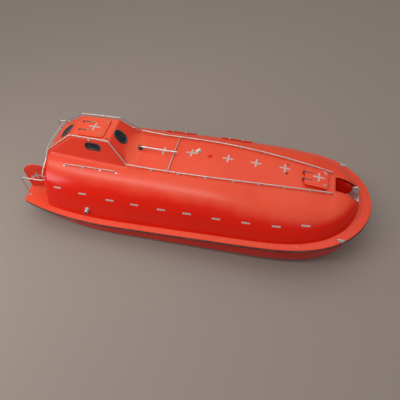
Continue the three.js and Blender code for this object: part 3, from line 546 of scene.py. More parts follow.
# The fender is an extrusion of black rubber with a half-round face.
# It is held under the ledge's outer edge.
FENDER_BACK = 0.06
fender_section = [(0.074, -0.0405), (0.03, -0.0405), (0.022, -0.044)]
fender_section += [(0.022 - 0.024 * math.cos(a), -0.0715 + 0.026 * math.sin(a))
                   for a in np.radians(np.linspace(80, -80, 11))]
fender_section += [(0.022, -0.099), (0.03, -0.1025), (0.074, -0.1025)]


def rubber(name, slot, colour, dust):
    """Black rubber: matt, dusty where it faces up, with a fine grain."""
    coat = Finish(name, slot, roughness=0.75, specular_ior_level=0.35)
    up = coat.ramp(coat.axis(coat.facing, "Z"), 0.1, 0.9)
    dusty = coat.ramp(coat.noise(5, 4) + up * 0.25, 0.52, 0.9) * dust
    coat.feed(base_color=coat.mix(dusty, colour, (0.22, 0.19, 0.16)), roughness=0.6 + dusty * 0.3)
    coat.bump(coat.noise(260, 3), 0.0006)
    return coat


black_rubber = rubber("black_rubber_finish", "fender_rubber", (0.018, 0.017, 0.017), 0.55)
fit("fender", plan_band(fender_section, -0.014, FENDER_BACK, HULL_TAIL), black_rubber, "rubber_fender")


# The stern deck is a flat moulding behind the cabin with a bowed after edge.
# The bow deck closes the hull inside the ledge, as the floor of the hook's notch.
DECK_FROM = CANOPY_TAIL - BEDDING
EASED_ABOVE = math.radians(38)


def eased(mesh, width, segments=3):
    """The mesh with its flat faces whole and its edges rounded."""
    work = bmesh.new()
    work.from_mesh(mesh)
    bmesh.ops.remove_doubles(work, verts=work.verts, dist=1e-5)
    bmesh.ops.dissolve_limit(work, angle_limit=math.radians(0.6), verts=work.verts, edges=work.edges)
    edges = [e for e in work.edges if len(e.link_faces) == 2 and e.calc_face_angle(0) > EASED_ABOVE]
    bmesh.ops.bevel(work, geom=edges, offset=width, segments=segments, profile=0.6, affect="EDGES",
                    clamp_overlap=True)
    done = bpy.data.meshes.new("part")
    work.to_mesh(done)
    work.free()
    return done


def own(node):
    """A copy of a node's mesh, to finish it finer."""
    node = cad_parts[node]
    return placed(node.data.copy(), node.matrix_world)


deck_side = [(x, -plan_half(LEDGE_PLAN, x)) for x in np.linspace(DECK_FROM, -5.3, 12)]
stern_half = plan_half(LEDGE_PLAN, -5.3)
deck_aft = [(-5.3 - 0.36 * t * (1 - t), stern_half * (2 * t - 1)) for t in np.linspace(0, 1, 33)[1:-1]]
deck_ring = deck_side + deck_aft + [(x, -y) for x, y in reversed(deck_side)]
fit("deck_aft", eased(slab(deck_ring, DECK_TOP - LEDGE_THICK, DECK_TOP), 0.01), ledge_gelcoat, "stern_deck")
fit("deck_fore", eased(own("bow_deck"), 0.004), ledge_gelcoat, "bow_deck")


# The stern wall closes the cabin: the canopy's moulding turns round a soft corner into a flat face.
# A black seal runs round its arched doorway.
DOOR = {"y": -0.62, "half": 0.28, "low": 1.0, "top": 1.86, "lap": 0.045, "thick": 0.034, "gap": 0.006}
wall_rows = []
for turn in np.radians(np.linspace(36.9, 87, 12)):
    x = WALL_AFT - 0.0007 + TAIL_ROUND * (1 - math.sin(turn))
    wall_rows.append(both_sides(canopy_half(x, 0, DECK_TOP + BEDDING), x))


def arch(half, low, top):
    """The outline (y, z) of an arched opening with small bottom corners."""
    spring = top - 0.8 * half
    head = [(half * math.cos(a), spring + (top - spring) * math.sin(a)) for a in np.linspace(0, math.pi, 20)]
    foot = [(0.06 * math.sin(a), 0.06 * (1 - math.cos(a))) for a in np.linspace(0, math.pi / 2, 5)]
    left = [(-half + 0.06 - u, low + v) for u, v in reversed(foot)]
    right = [(half - 0.06 + u, low + v) for u, v in foot]
    return head + left + right


def upright(ring, x, y=0.0):
    """An outline (y, z) as points on a fore-and-aft station."""
    return [(x, y + u, v) for u, v in ring]


def rim(path, out, section):
    """A closed bead along a flat closed path: section points are (outward in the plane, height along out)."""
    path = [Vector(p) for p in path]
    out = Vector(out).normalized()
    middle = sum(path, Vector()) / len(path)
    rows = []
    for before, point, after in zip(path[-1:] + path[:-1], path, path[1:] + path[:1]):
        side = (after - before).cross(out).normalized()
        if side.dot(point - middle) < 0:
            side = -side
        rows.append([point + side * a + out * b for a, b in section])
    return loft(rows + rows[:1], capped=False)


def bead(width, height):
    """A half-round section standing on a plane."""
    arc = [(width / 2 * math.cos(a), height * math.sin(a)) for a in np.linspace(0, math.pi, 8)]
    return arc + [(-width / 2, -0.01), (width / 2, -0.01)]


doorway = loft([upright(arch(DOOR["half"], DOOR["low"], DOOR["top"]), x, DOOR["y"]) for x in (-4.6, -4.3)])
fit("wall_aft", carved(loft(wall_rows), [doorway]), canopy_gelcoat, "stern_wall", sharp=40)
seal_path = upright(arch(DOOR["half"] + 0.018, DOOR["low"] - 0.018, DOOR["top"] + 0.018), WALL_AFT, DOOR["y"])
fit("door_seal", rim(seal_path, (-1, 0, 0), bead(0.022, 0.0055)), black_rubber)


# The stern door is a panelled moulding that stands open on two hinges at its outboard edge.
# A lever handle and a cross of reflective tape are on its outer face.
HINGE = {"knuckle": 0.013, "half": 0.02, "pin": 0.006, "pin_half": 0.031, "ear_from": 0.022,
         "ear_thick": 0.008, "ear_half": 0.014}
DOOR_HINGE = Vector((WALL_AFT - DOOR["gap"] - 0.017, DOOR["y"] - DOOR["half"] - DOOR["lap"] - 0.024, 0))
DOOR_LEVELS = (1.175, 1.605)
DOOR_OPEN = math.radians(105)


def sweep(path, radius, sides=14):
    """A round bar along a path, capped at both ends. The radius is one number or one for each point."""
    path = [Vector(p) for p in path]
    radii = radius if isinstance(radius, list) else [radius] * len(path)
    along = [(b - a).normalized() for a, b in zip(path, path[1:])]
    along = [along[0]] + [(a + b).normalized() for a, b in zip(along, along[1:])] + [along[-1]]
    side = along[0].orthogonal().normalized()
    rows = []
    for point, axis, size in zip(path, along, radii):
        side = (side - axis * side.dot(axis)).normalized()
        up = axis.cross(side)
        rows.append([point + (side * math.cos(a) + up * math.sin(a)) * size
                     for a in np.linspace(0, 2 * math.pi, sides + 1)[:-1]])
    return loft(rows)


def turned(profile, base, axis, sides=20):
    """A turned part: profile points are (distance along the axis, radius)."""
    base, axis = Vector(base), Vector(axis).normalized()
    path = [base + axis * along for along, _ in profile]
    return sweep(path, [max(radius, 1e-4) for _, radius in profile], sides)


def bolt(base, axis, size=0.008):
    """A domed bolt head on a washer."""
    return turned([(-0.002, 1.5 * size), (0.0012, 1.5 * size), (0.0013, size), (0.6 * size, size),
                   (0.85 * size, 0.6 * size), (0.9 * size, 0.01 * size)], base, axis, 12)


def four_bolts(x, y, z, half_x, half_y, size):
    """Bolt heads at the corners of a fitting's foot."""
    corners = [(dx, dy) for dx in (-half_x, half_x) for dy in (-half_y, half_y)]
    return [bolt((x + dx, y + dy, z), (0, 0, 1), size) for dx, dy in corners]


def knuckle(matrix):
    """The moving half of a hinge along local X, with its pin."""
    size, half, pin, reach = HINGE["knuckle"], HINGE["half"], HINGE["pin"], HINGE["pin_half"]
    profile = [(-reach - 0.003, 0.5 * pin), (-reach, pin), (-half, pin), (-half, 0.9 * size),
               (0.002 - half, size), (half - 0.002, size), (half, 0.9 * size), (half, pin), (reach, pin),
               (reach + 0.003, 0.5 * pin)]
    return placed(turned(profile, (0, 0, 0), (1, 0, 0), 18), matrix)


def ears(matrix, drop):
    """The fixed half of a hinge: two rounded plates that stand on what holds them."""
    plates = []
    half, thick = HINGE["ear_half"], HINGE["ear_thick"]
    for low in (HINGE["ear_from"], -HINGE["ear_from"] - thick):
        ring = [(half * math.cos(a), half * math.sin(a)) for a in np.linspace(0, math.pi, 12)]
        ring += [(-half, -drop), (half, -drop)]
        plates.append(eased(loft([[(x, y, z) for y, z in ring] for x in (low, low + thick)]), 0.0012, 2))
    return placed(joined(*plates), matrix)


def steel(name, slot, colour, stain, roughness):
    """Stainless or galvanised steel that has stood outdoors: brushed, dulled and tea-stained."""
    coat = Finish(name, slot, metallic=0.85, roughness=roughness)
    cloud = coat.noise(9, 4)
    tea = coat.ramp(cloud, 0.5, 0.72) * 0.45
    grain = coat.noise(190, 2)
    coat.feed(base_color=coat.mix(tea, colour, stain), roughness=roughness + tea * 0.35 + grain * 0.08,
              metallic=0.85 - tea * 0.5)
    coat.bump(grain, 0.0003)
    return coat


stainless = steel("stainless_finish", "rail_steel", (0.66, 0.6, 0.56), (0.36, 0.2, 0.13), 0.3)
dark_iron = steel("dark_iron_finish", "galvanised_steel", (0.12, 0.12, 0.125), (0.13, 0.06, 0.035), 0.5)


def reflective(name, slot):
    """Reflective tape: pale grey with a fine honeycomb and dull with dirt."""
    coat = Finish(name, slot, metallic=0.25, roughness=0.42)
    cell = coat.node("ShaderNodeTexVoronoi", {"feature": "DISTANCE_TO_EDGE"}, Vector=coat.place, Scale=330)
    dirt = coat.ramp(coat.noise(24, 4), 0.5, 0.78) * 0.4
    pale = coat.mix(coat.ramp(cell, 0.02, 0.09), (0.4, 0.33, 0.3), (0.6, 0.5, 0.46))
    coat.feed(base_color=coat.mix(dirt, pale, (0.42, 0.24, 0.18)), roughness=0.45 + dirt * 0.4)
    coat.bump(coat.ramp(cell, 0.0, 0.1), 0.0002)
    return coat


tape = reflective("reflective_tape_finish", "rail_steel")
TAPE_WIDE = 0.05
TAPE_THICK = 0.0012


def strip(place, along, across, length, lift, onto):
    """A strip of tape centred at place, laid onto a skin where one is given, else flat."""
    place, along, across = Vector(place), Vector(along).normalized(), Vector(across).normalized()
    rows = []
    for s in np.linspace(-0.5, 0.5, 9):
        low, high = [], []
        for t in np.linspace(-0.5, 0.5, 4):
            point, normal = place + along * (s * length) + across * (t * TAPE_WIDE), along.cross(across)
            if onto:
                point, normal = onto.find_nearest(point)[:2]
            high.append(point + normal * (TAPE_THICK + lift))
            low.append(point - normal * 0.0006)
        rows.append(high + low[::-1])
    return loft(rows)


def cross(place, along, across, size, onto=None):
    """Two strips of tape laid crosswise."""
    along, across = Vector(along), Vector(across)
    return joined(strip(place, along, across, size, 0, onto),
                  strip(place, across, -along, size, 0.0005, onto))


door_face = WALL_AFT - DOOR["gap"] - DOOR["thick"]
leaf_ring = arch(DOOR["half"] + DOOR["lap"], DOOR["low"] - DOOR["lap"], DOOR["top"] + DOOR["lap"])
panel_ring = arch(DOOR["half"] - 0.03, DOOR["low"] + 0.03, DOOR["top"] - 0.03)
opened = Matrix.Translation(DOOR_HINGE) @ Matrix.Rotation(DOOR_OPEN, 4, "Z") @ Matrix.Translation(-DOOR_HINGE)
leaf = loft([upright(leaf_ring, x, DOOR["y"]) for x in (door_face, door_face + DOOR["thick"])])
panel = loft([upright(panel_ring, x, DOOR["y"]) for x in (door_face - 0.006, door_face + 0.01)])
chalky_gelcoat = gelcoat("chalky_gelcoat_finish", "canopy_gelcoat", (0.84, 0.05, 0.022), 0.3, 0.8)
fit("door_leaf", placed(joined(eased(leaf, 0.009, 4), eased(panel, 0.005, 3)), opened), chalky_gelcoat,
    "stern_door", body="door")
door_hinges, door_ears = [], []
for level in DOOR_LEVELS:
    turn_up = Matrix.Translation(DOOR_HINGE + Vector((0, 0, level))) @ Matrix.Rotation(-math.pi / 2, 4, "Y")
    door_hinges.append(knuckle(turn_up))
    plate = box((door_face - 0.005, DOOR_HINGE.y, level - 0.02),
                (door_face + 0.002, DOOR_HINGE.y + 0.16, level + 0.02))
    door_hinges.append(eased(plate, 0.002, 2))
    door_hinges += [bolt((door_face - 0.005, DOOR_HINGE.y + d, level), (-1, 0, 0)) for d in (0.06, 0.1, 0.14)]
    door_ears.append(ears(turn_up, 0.045))
handle_at = Vector((door_face - 0.006, DOOR["y"] + 0.16, 1.42))
lever = sweep([handle_at, handle_at + Vector((-0.03, 0, 0)), handle_at + Vector((-0.04, -0.01, 0)),
               handle_at + Vector((-0.042, -0.13, 0))], [0.011, 0.011, 0.01, 0.008])
rose = turned([(0, 0.032), (0.006, 0.032), (0.009, 0.028), (0.009, 0.001)], handle_at, (-1, 0, 0))
fit("door_hinges", placed(joined(*door_hinges, lever, rose), opened), stainless, body="door")
fit("door_hinge_ears", joined(*door_ears), stainless)
door_cross = cross((door_face - 0.006, DOOR["y"], 1.45), (0, 1, 0), (0, 0, -1), 0.26)
fit("door_tape", placed(door_cross, opened), tape, body="door", sharp=60)


# The conning tower is moulded in one with sloping faces and a wide fillet where its front meets the roof.
# The steersman looks out through one window in each face.
TOWER_TOP = 2.74
TOWER_EDGE = 0.05
whole_skin = canopy_body(0, WALL_AFT + 0.0005, canopy_tip)
skin = tree_of(whole_skin)


def skin_z(x, y):
    """Height of the canopy's skin over a point."""
    return skin.ray_cast(Vector((x, y, 4)), Vector((0, 0, -1)))[0].z


def tower_walls(z, inset=0.0):
    """After and fore ends and the half widths at them, at a height."""
    t = (z - ROOF) / (TOWER_TOP - ROOF)
    half_aft, half_fore = 0.63 - 0.16 * t, 0.72 - 0.22 * t
    return -4.47 + 0.87 * t + inset, -1.96 - 0.51 * t - inset, half_aft - inset, half_fore - inset


def tower_ring(z, inset=0.0):
    """The tower's section: straight faces and rounded upright corners."""
    aft, fore, half_aft, half_fore = tower_walls(z, inset)
    corners = [(aft, 0)] + [(aft, half_aft * s) for s in (0.3, 0.6)] + [(aft, half_aft, 0.12)]
    corners += [(aft + (fore - aft) * s, half_aft + (half_fore - half_aft) * s)
                for s in np.linspace(0.1, 0.9, 9)]
    corners.append((fore, half_fore, 0.12))
    corners += [(fore, half_fore * s) for s in (0.76, 0.6, 0.45, 0.3, 0.15, 0)]
    half = [tuple(p) for p in rounded(corners, 8)]
    return half + [(x, -y) for x, y in reversed(half[1:-1])]


tower_edge_z = TOWER_TOP - TOWER_EDGE
low_ring, high_ring = (np.array(tower_ring(z)) for z in (ROOF, tower_edge_z))
tower_lines = []
for i, (low, high) in enumerate(zip(low_ring, high_ring)):
    slope = (high - low) / (tower_edge_z - ROOF)
    before, after = low_ring[i - 1], low_ring[(i + 1) % len(low_ring)]
    outward = np.array((after[1] - before[1], before[0] - after[0]))
    outward /= np.hypot(*outward)
    if outward @ (low - np.array((-3.2, 0))) < 0:
        outward = -outward
    facing_fore = max(0.0, outward[0]) * max(0.0, 1 - (abs(low[1]) / 0.62) ** 4)
    reach = 0.075 + 0.24 * facing_fore
    z = ROOF
    for _ in range(6):
        at = low + slope * (z - ROOF)
        z = skin_z(max(at[0], WALL_AFT + 0.02), at[1])
    corner = np.array((*(low + slope * (z - ROOF)), z))
    if corner[0] < WALL_AFT + 0.02:
        z = ROOF + (WALL_AFT - low[0]) / slope[0]
        corner = np.array((WALL_AFT, low[1] + slope[1] * (z - ROOF), z))
        foot = np.array((WALL_AFT, corner[1], skin_z(WALL_AFT + 0.03, corner[1]) - 0.03))
        reach = 0.03
    else:
        foot = np.array((*(corner[:2] + outward * reach), 0))
        foot[0] = max(foot[0], WALL_AFT + 0.004)
        foot[2] = skin_z(foot[0], foot[1]) + 0.001
    start = np.array((*(low + slope * (z + reach - ROOF)), z + reach))
    bend = [start * (1 - t) ** 2 + corner * 2 * t * (1 - t) + foot * t * t for t in np.linspace(0, 1, 11)]
    tower_lines.append(bend[::-1])
tower_rows = [[line[k] for line in tower_lines] for k in range(11)]
tower_rows.insert(0, [line[0] - np.array((0, 0, 0.012)) for line in tower_lines])
for a in np.radians(np.linspace(0, 90, 7)):
    height, draw = TOWER_TOP - TOWER_EDGE * (1 - math.sin(a)), TOWER_EDGE * (1 - math.cos(a))
    tower_rows.append([(x, y, height) for x, y in tower_ring(height, draw)])
tower_room = loft([[(x, y, z) for x, y in tower_ring(z, SHELL)] for z in (1.7, TOWER_TOP - SHELL)])
TOP_HATCH_X = -3.035
WINDOWS = {
    "fore": {"axis": "x", "at": (-2.29, 0, 2.52), "half": (0.165, 0.165), "facing": 1},
    "aft": {"axis": "x", "at": (-4.02, 0, 2.46), "half": (0.21, 0.12), "facing": -1},
    "port": {"axis": "y", "at": (-2.94, 0.62, 2.53), "half": (0.22, 0.085), "facing": 1},
    "starboard": {"axis": "y", "at": (-2.94, -0.62, 2.53), "half": (0.22, 0.085), "facing": -1},
}


def window_outline(window, grow):
    """The window's rounded outline (along the wall, up)."""
    w, h = window["half"][0] + grow, window["half"][1] + grow
    return rounded_ring(w, h, 0.92 * min(w, h))


def on_wall(window, u, v):
    """A point of the window's outline on the tower's outer face."""
    x, y, z = window["at"]
    aft, fore, half_aft, half_fore = tower_walls(z + v)
    if window["axis"] == "x":
        return Vector((fore if window["facing"] > 0 else aft, u, z + v))
    share = (x + u - aft) / (fore - aft)
    return Vector((x + u, window["facing"] * (half_aft + (half_fore - half_aft) * share), z + v))


def window_hole(window):
    """The prism that cuts the window's opening."""
    x, y, z = window["at"]
    ring = window_outline(window, 0)
    if window["axis"] == "x":
        return loft([[(x + d, u, z + v) for u, v in ring] for d in (-0.3, 0.3)])
    return loft([[(x + u, y + d, z + v) for u, v in ring] for d in (-0.3, 0.3)])


tower_hole = placed(rounded_plate(0.3, 0.3, 0.06, -0.2, 0.2), Matrix.Translation((TOP_HATCH_X, 0, TOWER_TOP)))
tower_cuts = [tower_room, tower_hole, *[window_hole(w) for w in WINDOWS.values()]]
tower_mesh = carved(loft(tower_rows), tower_cuts)
fit("tower", tower_mesh, chalky_gelcoat, "conning_tower", sharp=32)


# Each window is a dark, slightly domed pane of hardened glass.
# A thick black rubber profile grips the edge of its opening.
def pane_finish(name, slot):
    """Dark glass with a faint film of salt."""
    coat = Finish(name, slot, roughness=0.06, specular_ior_level=0.6)
    film = coat.ramp(coat.noise(11, 5), 0.45, 0.8) * 0.3
    coat.feed(base_color=coat.mix(film, (0.012, 0.014, 0.017), (0.13, 0.13, 0.13)), roughness=0.05 + film)
    coat.bump(coat.noise(2, 1), 0.002)
    return coat


pane = pane_finish("window_pane_finish", "window_pane")
for name, window in WINDOWS.items():
    flat = [on_wall(window, u, v) for u, v in window_outline(window, 0.002)]
    middle = on_wall(window, 0, 0)
    out = (flat[10] - middle).cross(flat[1] - middle)
    wanted = Vector((window["facing"], 0, 0)) if window["axis"] == "x" else Vector((0, window["facing"], 0))
    out = out.normalized() if out.dot(wanted) > 0 else -out.normalized()
    rows = [[middle + (p - middle) * 0.995 - out * 0.018 for p in flat]]
    rows += [[middle + (p - middle) * s + out * (0.004 * (1 - s * s) - 0.008) for p in flat]
             for s in (0.995, 0.8, 0.5, 0.02)]
    fit(f"pane_{name}", loft(rows), pane, f"window_{name}", sharp=60)
    gasket = [on_wall(window, u, v) for u, v in window_outline(window, 0.004)]
    section = [(0.026, -0.004), (0.027, 0.004), (0.022, 0.011), (0.01, 0.014), (-0.01, 0.014), (-0.02, 0.009),
               (-0.024, 0), (-0.022, -0.012), (-0.004, -0.012), (-0.004, -0.004)]
    fit(f"gasket_{name}", rim(gasket, out, section), black_rubber, sharp=50)


# Flat moulded lids close the tower and fore hatches, and curved panels close the two side ones.
# Each hangs on two hinges and has cast dogs. The flat ones have bolted straps and lie on a black seal.
landing = tree_of(joined(whole_skin, tower_mesh))
galvanised = steel("galvanised_finish", "galvanised_steel", (0.62, 0.63, 0.62), (0.33, 0.25, 0.2), 0.5)
brass = steel("brass_finish", "bronze", (0.5, 0.43, 0.22), (0.16, 0.17, 0.1), 0.42)


def square(half):
    """A rounded square as a closed path on a plane."""
    return [Vector((x, y, 0)) for x, y in rounded_ring(half, half, 0.08)]


def lid(half, radius, low, thick):
    """A moulded lid: a plate with rounded edges and a raised panel."""
    plate = eased(rounded_plate(half, half, radius, low, low + thick), 0.011, 4)
    panel = eased(rounded_plate(half - 0.07, half - 0.07, radius - 0.03, low + thick - 0.01,
                                low + thick + 0.004), 0.0035, 3)
    return joined(plate, panel)


def athwart(x, y, z):
    """The place of a hinge whose pin lies across the boat."""
    return Matrix.Translation((x, y, z)) @ Matrix.Rotation(math.pi / 2, 4, "Z")


def lid_ears(x, z, spread, drop):
    """The fixed halves of a flat lid's two hinges."""
    return joined(*[ears(athwart(x, y, z), drop) for y in (-spread, spread)])


def lid_hinges(x, z, spread):
    """Two hinges across the boat with bolted straps that reach over the lid."""
    parts = []
    reach = 0.26
    for y in (-spread, spread):
        parts.append(knuckle(athwart(x, y, z)))
        parts.append(eased(box((x, y - 0.02, z - 0.003), (x + reach, y + 0.02, z + 0.0135)), 0.004, 3))
        parts += [bolt((x + reach * s, y, z + 0.0135), (0, 0, 1), 0.009) for s in (0.35, 0.65, 0.92)]
    return joined(*parts)


def dog(place, turn, lean=0.0):
    """A cast closing dog: a boss on a pad with a tapered lever, turned and leant with the skin."""
    pad = eased(rounded_plate(0.036, 0.024, 0.014, -0.004, 0.008), 0.002, 2)
    boss = turned([(0.004, 0.017), (0.022, 0.017), (0.026, 0.013), (0.027, 0.001)], (0, 0, 0), (0, 0, 1))
    lever = sweep([(0, 0, 0.016), (0.03, 0, 0.022), (0.09, 0, 0.018), (0.105, 0, 0.017)],
                  [0.01, 0.009, 0.008, 0.004])
    stand_at = Matrix.Translation(place) @ Matrix.Rotation(lean, 4, "X")
    return placed(joined(pad, boss, lever), stand_at @ Matrix.Rotation(turn, 4, "Z"))


TOP_HINGE = (-3.455, 2.773)
FORE_HINGE = (-0.377, 0.07)
tower_lid = placed(lid(0.39, 0.09, TOWER_TOP + 0.006, 0.034), Matrix.Translation((TOP_HATCH_X, 0, 0)))
fit("tower_lid_plate", tower_lid, chalky_gelcoat, "tower_hatch_lid", body="tower_lid")
fit("tower_lid_hinges", lid_hinges(*TOP_HINGE, 0.17), dark_iron, body="tower_lid")
tower_dogs = [dog((TOP_HATCH_X + 0.3, s * 0.27, 2.782), s * 2.2) for s in (-1, 1)]
tower_dogs += [dog((-3.17, s * 0.17, 2.788), math.pi * (1 - s) / 2) for s in (-1, 1)]
fit("tower_lid_dogs", joined(*tower_dogs), brass, body="tower_lid")
fit("tower_lid_tape", cross((-3.04, 0.0, 2.784), (1, 0, 0), (0, 1, 0), 0.33), tape, body="tower_lid",
    sharp=60)
fit("tower_hinge_ears", lid_ears(*TOP_HINGE, 0.17, 0.05), dark_iron)
tower_seal = [p + Vector((TOP_HATCH_X, 0, TOWER_TOP)) for p in square(0.335)]
fit("tower_seal", rim(tower_seal, (0, 0, 1), bead(0.026, 0.0054)), black_rubber)

fore_coaming = carved(eased(rounded_plate(0.304, 0.304, 0.08, -0.08, 0.04), 0.008, 3),
                      [rounded_plate(0.2703, 0.2703, 0.06, -0.2, 0.2)])
fore_pads = [eased(box((-0.397, s * 0.13 - 0.04, -0.04), (-0.29, s * 0.13 + 0.04, 0.014)), 0.006, 3)
             for s in (-1, 1)]
fit("fore_coaming", placed(joined(fore_coaming, *fore_pads), fore_roof), canopy_gelcoat, "fore_hatch_coaming")
fore_seal = rim([p + Vector((0, 0, 0.04)) for p in square(0.287)], (0, 0, 1), bead(0.02, 0.0054))
fit("fore_seal", placed(fore_seal, fore_roof), black_rubber)
fit("fore_lid_plate", placed(lid(0.335, 0.08, 0.046, 0.032), fore_roof), canopy_gelcoat, "fore_hatch_lid",
    body="fore_lid")
fit("fore_lid_hinges", placed(lid_hinges(*FORE_HINGE, 0.13), fore_roof), dark_iron, body="fore_lid")
fore_dogs = [dog((0.25, s * 0.21, 0.08), s * 2.4) for s in (-1, 1)]
fit("fore_lid_dogs", placed(joined(*fore_dogs), fore_roof), galvanised, body="fore_lid")
fore_cross = cross((0.06, 0.03, 0.0822), (1, 0, 0), (0, 1, 0), 0.32)
fit("fore_lid_tape", placed(fore_cross, fore_roof), tape, body="fore_lid", sharp=60)
fit("fore_hinge_ears", placed(lid_ears(*FORE_HINGE, 0.13, 0.06), fore_roof), dark_iron)

SIDE_HINGE = Vector((0, 1.15, 1.9215))
side_skin = carved(canopy_body(-0.032, -1.7, 1.8, 0.1, 0.12, 4),
                   [canopy_body(-0.006, -1.8, 1.9, 0.2, 0.12, 4)])
arm_end = Vector((0, 1.38, skin_z(0, 1.38) + 0.05))
for name, x in SIDE_HATCHES.items():
    frame_block = eased(box((x - 0.47, 1.19, 1.4), (x + 0.47, 2.3, 2.6)), 0.09, 6)
    side_panel = carved(side_skin.copy(), [frame_block], "INTERSECT")
    fit(f"side_lid_{name}", side_panel, canopy_gelcoat, f"side_hatch_{name}", body=f"side_lid_{name}",
        sharp=30)
    arms, side_ears, handles = [], [], []
    for shift in (-0.21, 0.21):
        at = Matrix.Translation(SIDE_HINGE + Vector((x + shift, 0, 0)))
        arms.append(knuckle(at))
        arms.append(sweep([at.translation, arm_end + Vector((x + shift, 0, 0)),
                           arm_end + Vector((x + shift, 0.03, -0.03))], 0.011))
        side_ears.append(ears(at, 0.07))
        low = skin.ray_cast(Vector((x + shift, 3, 1.5)), Vector((0, -1, 0)))[0] + Vector((0, 0.036, 0))
        handles.append(dog(low, math.pi / 2, -math.pi / 2.2))
    fit(f"side_arms_{name}", joined(*arms), stainless, body=f"side_lid_{name}")
    fit(f"side_dogs_{name}", joined(*handles), galvanised, body=f"side_lid_{name}")
    fit(f"side_ears_{name}", joined(*side_ears), galvanised)


# Grab rails of stainless tube run along the roof's edges, over the tower and down the cabin's after corners.
# They stand on short welded feet, each on a bolted flange with a black pad.
SIDES = (("starboard", -1), ("port", 1))
RAIL = 0.017
RAIL_LIFT = 0.058
RAIL_IN = 0.97
PAD = 0.0025
CROSS_X = -0.7
CROSS_RISE = 0.022


def over_skin(x, y, lift=RAIL_LIFT):
    return Vector((x, y, skin_z(x, y) + lift))


def bent(corners, reach):
    """A path through corners, with each inner one turned in an arc."""
    corners = [Vector(c) for c in corners]
    path = [corners[0]]
    for before, at, after in zip(corners, corners[1:], corners[2:]):
        a, b = before - at, after - at
        turn = math.pi - a.angle(b)
        run = min(reach * math.tan(turn / 2), 0.45 * a.length, 0.45 * b.length)
        p, q = at + a.normalized() * run, at + b.normalized() * run
        steps = 7 if turn > 0.1 else 3
        path += [p * (1 - t) ** 2 + at * (2 * t * (1 - t)) + q * (t * t) for t in np.linspace(0, 1, steps)]
    return path + [corners[-1]]


def flange(base, axis, radius=0.028):
    """A welded flange with a weld bead round the tube and two bolts."""
    base, axis = Vector(base), Vector(axis).normalized()
    disc = turned([(-0.003, radius), (0.0045, radius), (0.006, radius - 0.002), (0.0065, 0.5 * radius),
                   (0.011, 0.42 * radius)], base, axis)
    side = axis.orthogonal().normalized() * (0.72 * radius)
    return joined(disc, bolt(base + side + axis * 0.006, axis, 0.0035),
                  bolt(base - side + axis * 0.006, axis, 0.0035))


def pad_under(base, normal, radius=0.034):
    """The black pad between a flange and the skin."""
    shape = [(-0.002, radius), (0.0018, radius), (0.003, radius - 0.003), (0.0031, 0.002)]
    return turned(shape, base, normal)


def stand(point):
    """A rail's foot: its tube and flange, and the pad under the flange."""
    point, down = Vector(point), Vector((0, 0, -1))
    base, normal = landing.ray_cast(point, down)[:2]
    if normal.z < 0:
        normal = -normal
    weld = turned([(0.004, 0.012), (0.014, 0.0165), (0.022, 0.012)], point, down, 14)
    foot = joined(sweep([point, base + down * 0.004], 0.01, 12), flange(base + normal * PAD, normal), weld)
    return foot, pad_under(base, normal)


pads = []
for side, s in SIDES:
    roof_line = [over_skin(x, s * rail_half(x) * RAIL_IN) for x in (3.9, 3.3, 2.6, 1.9, 1.2, 0.4, -0.4, -1.2)]
    tower_line = [Vector((-1.93, s * 0.735, 2.18)), Vector((-2.445, s * 0.505, 2.79)),
                  Vector((-3.625, s * 0.475, 2.79))]
    after_line = [(-4.475, s * 0.625, 2.185), (-4.47, s * 0.82, 2.01), (-4.492, s * 1.13, 1.83),
                  (-4.492, s * 1.325, 1.65), (-4.42, s * 1.15, 1.65)]
    nose = over_skin(3.96, s * rail_half(3.96) * RAIL_IN, -0.01)
    parts = [sweep(bent([nose, *roof_line, *tower_line, *after_line], 0.11), RAIL)]
    for at in [*roof_line[1:], (tower_line[1] + tower_line[2]) / 2]:
        metal, pad = stand(at)
        parts.append(metal)
        pads.append(pad)
    for at in (roof_line[2], roof_line[5], tower_line[1].lerp(tower_line[2], 0.5)):
        parts.append(sweep([at - Vector((0.006, 0, 0)), at + Vector((0.006, 0, 0))], RAIL + 0.0012, 14))
    fit(f"roof_rail_{side}", joined(*parts), stainless, f"rail_{side}")
    shoulder_line = [over_skin(x, s * 0.94, 0.062) for x in (-3.78, -3.25, -2.7, -2.25)]
    ends = [over_skin(-3.83, s * 0.94, -0.012), over_skin(-2.2, s * 0.94, -0.012)]
    parts = [sweep(bent([ends[0], *shoulder_line, ends[1]], 0.05), 0.014)]
    for at in shoulder_line[1:3]:
        metal, pad = stand(at)
        parts.append(metal)
        pads.append(pad)
    for end in ends:
        base, normal = skin.find_nearest(end)[:2]
        parts.append(flange(base + normal * PAD, normal, 0.03))
        pads.append(pad_under(base, normal, 0.036))
    fit(f"shoulder_tube_{side}", joined(*parts), stainless, f"shoulder_rail_{side}")
    stern_line = [(-4.45, s * 1.26, 1.545), (-4.56, s * 1.325, 1.56), (-5.23, s * 1.325, 1.56),
                  (-5.23, s * 1.325, DECK_TOP)]
    post_foot = flange((-5.23, s * 1.325, DECK_TOP + 0.0005), (0, 0, 1), 0.042)
    fit(f"stern_tube_{side}", joined(sweep(bent(stern_line, 0.09), RAIL), post_foot), stainless,
        f"stern_rail_{side}")
cross_half = rail_half(CROSS_X) * RAIL_IN - RAIL - 0.002
cross_z = over_skin(CROSS_X, cross_half).z
cross_line = [(CROSS_X, -cross_half, cross_z), (CROSS_X, 0, cross_z + CROSS_RISE),
              (CROSS_X, cross_half, cross_z)]
cross_tube = sweep(bent(cross_line, 0.6), RAIL)
cross_foot, pad = stand((CROSS_X, 0, cross_z + 0.018))
pads.append(pad)
fit("cross_tube", joined(cross_tube, cross_foot), stainless, "cross_rail")
knuckle_line = [(-4.5, -0.6, 2.19), (-4.515, 0, 2.195), (-4.5, 0.6, 2.19)]
knuckle_parts = [sweep(bent(knuckle_line, 1.2), RAIL)]
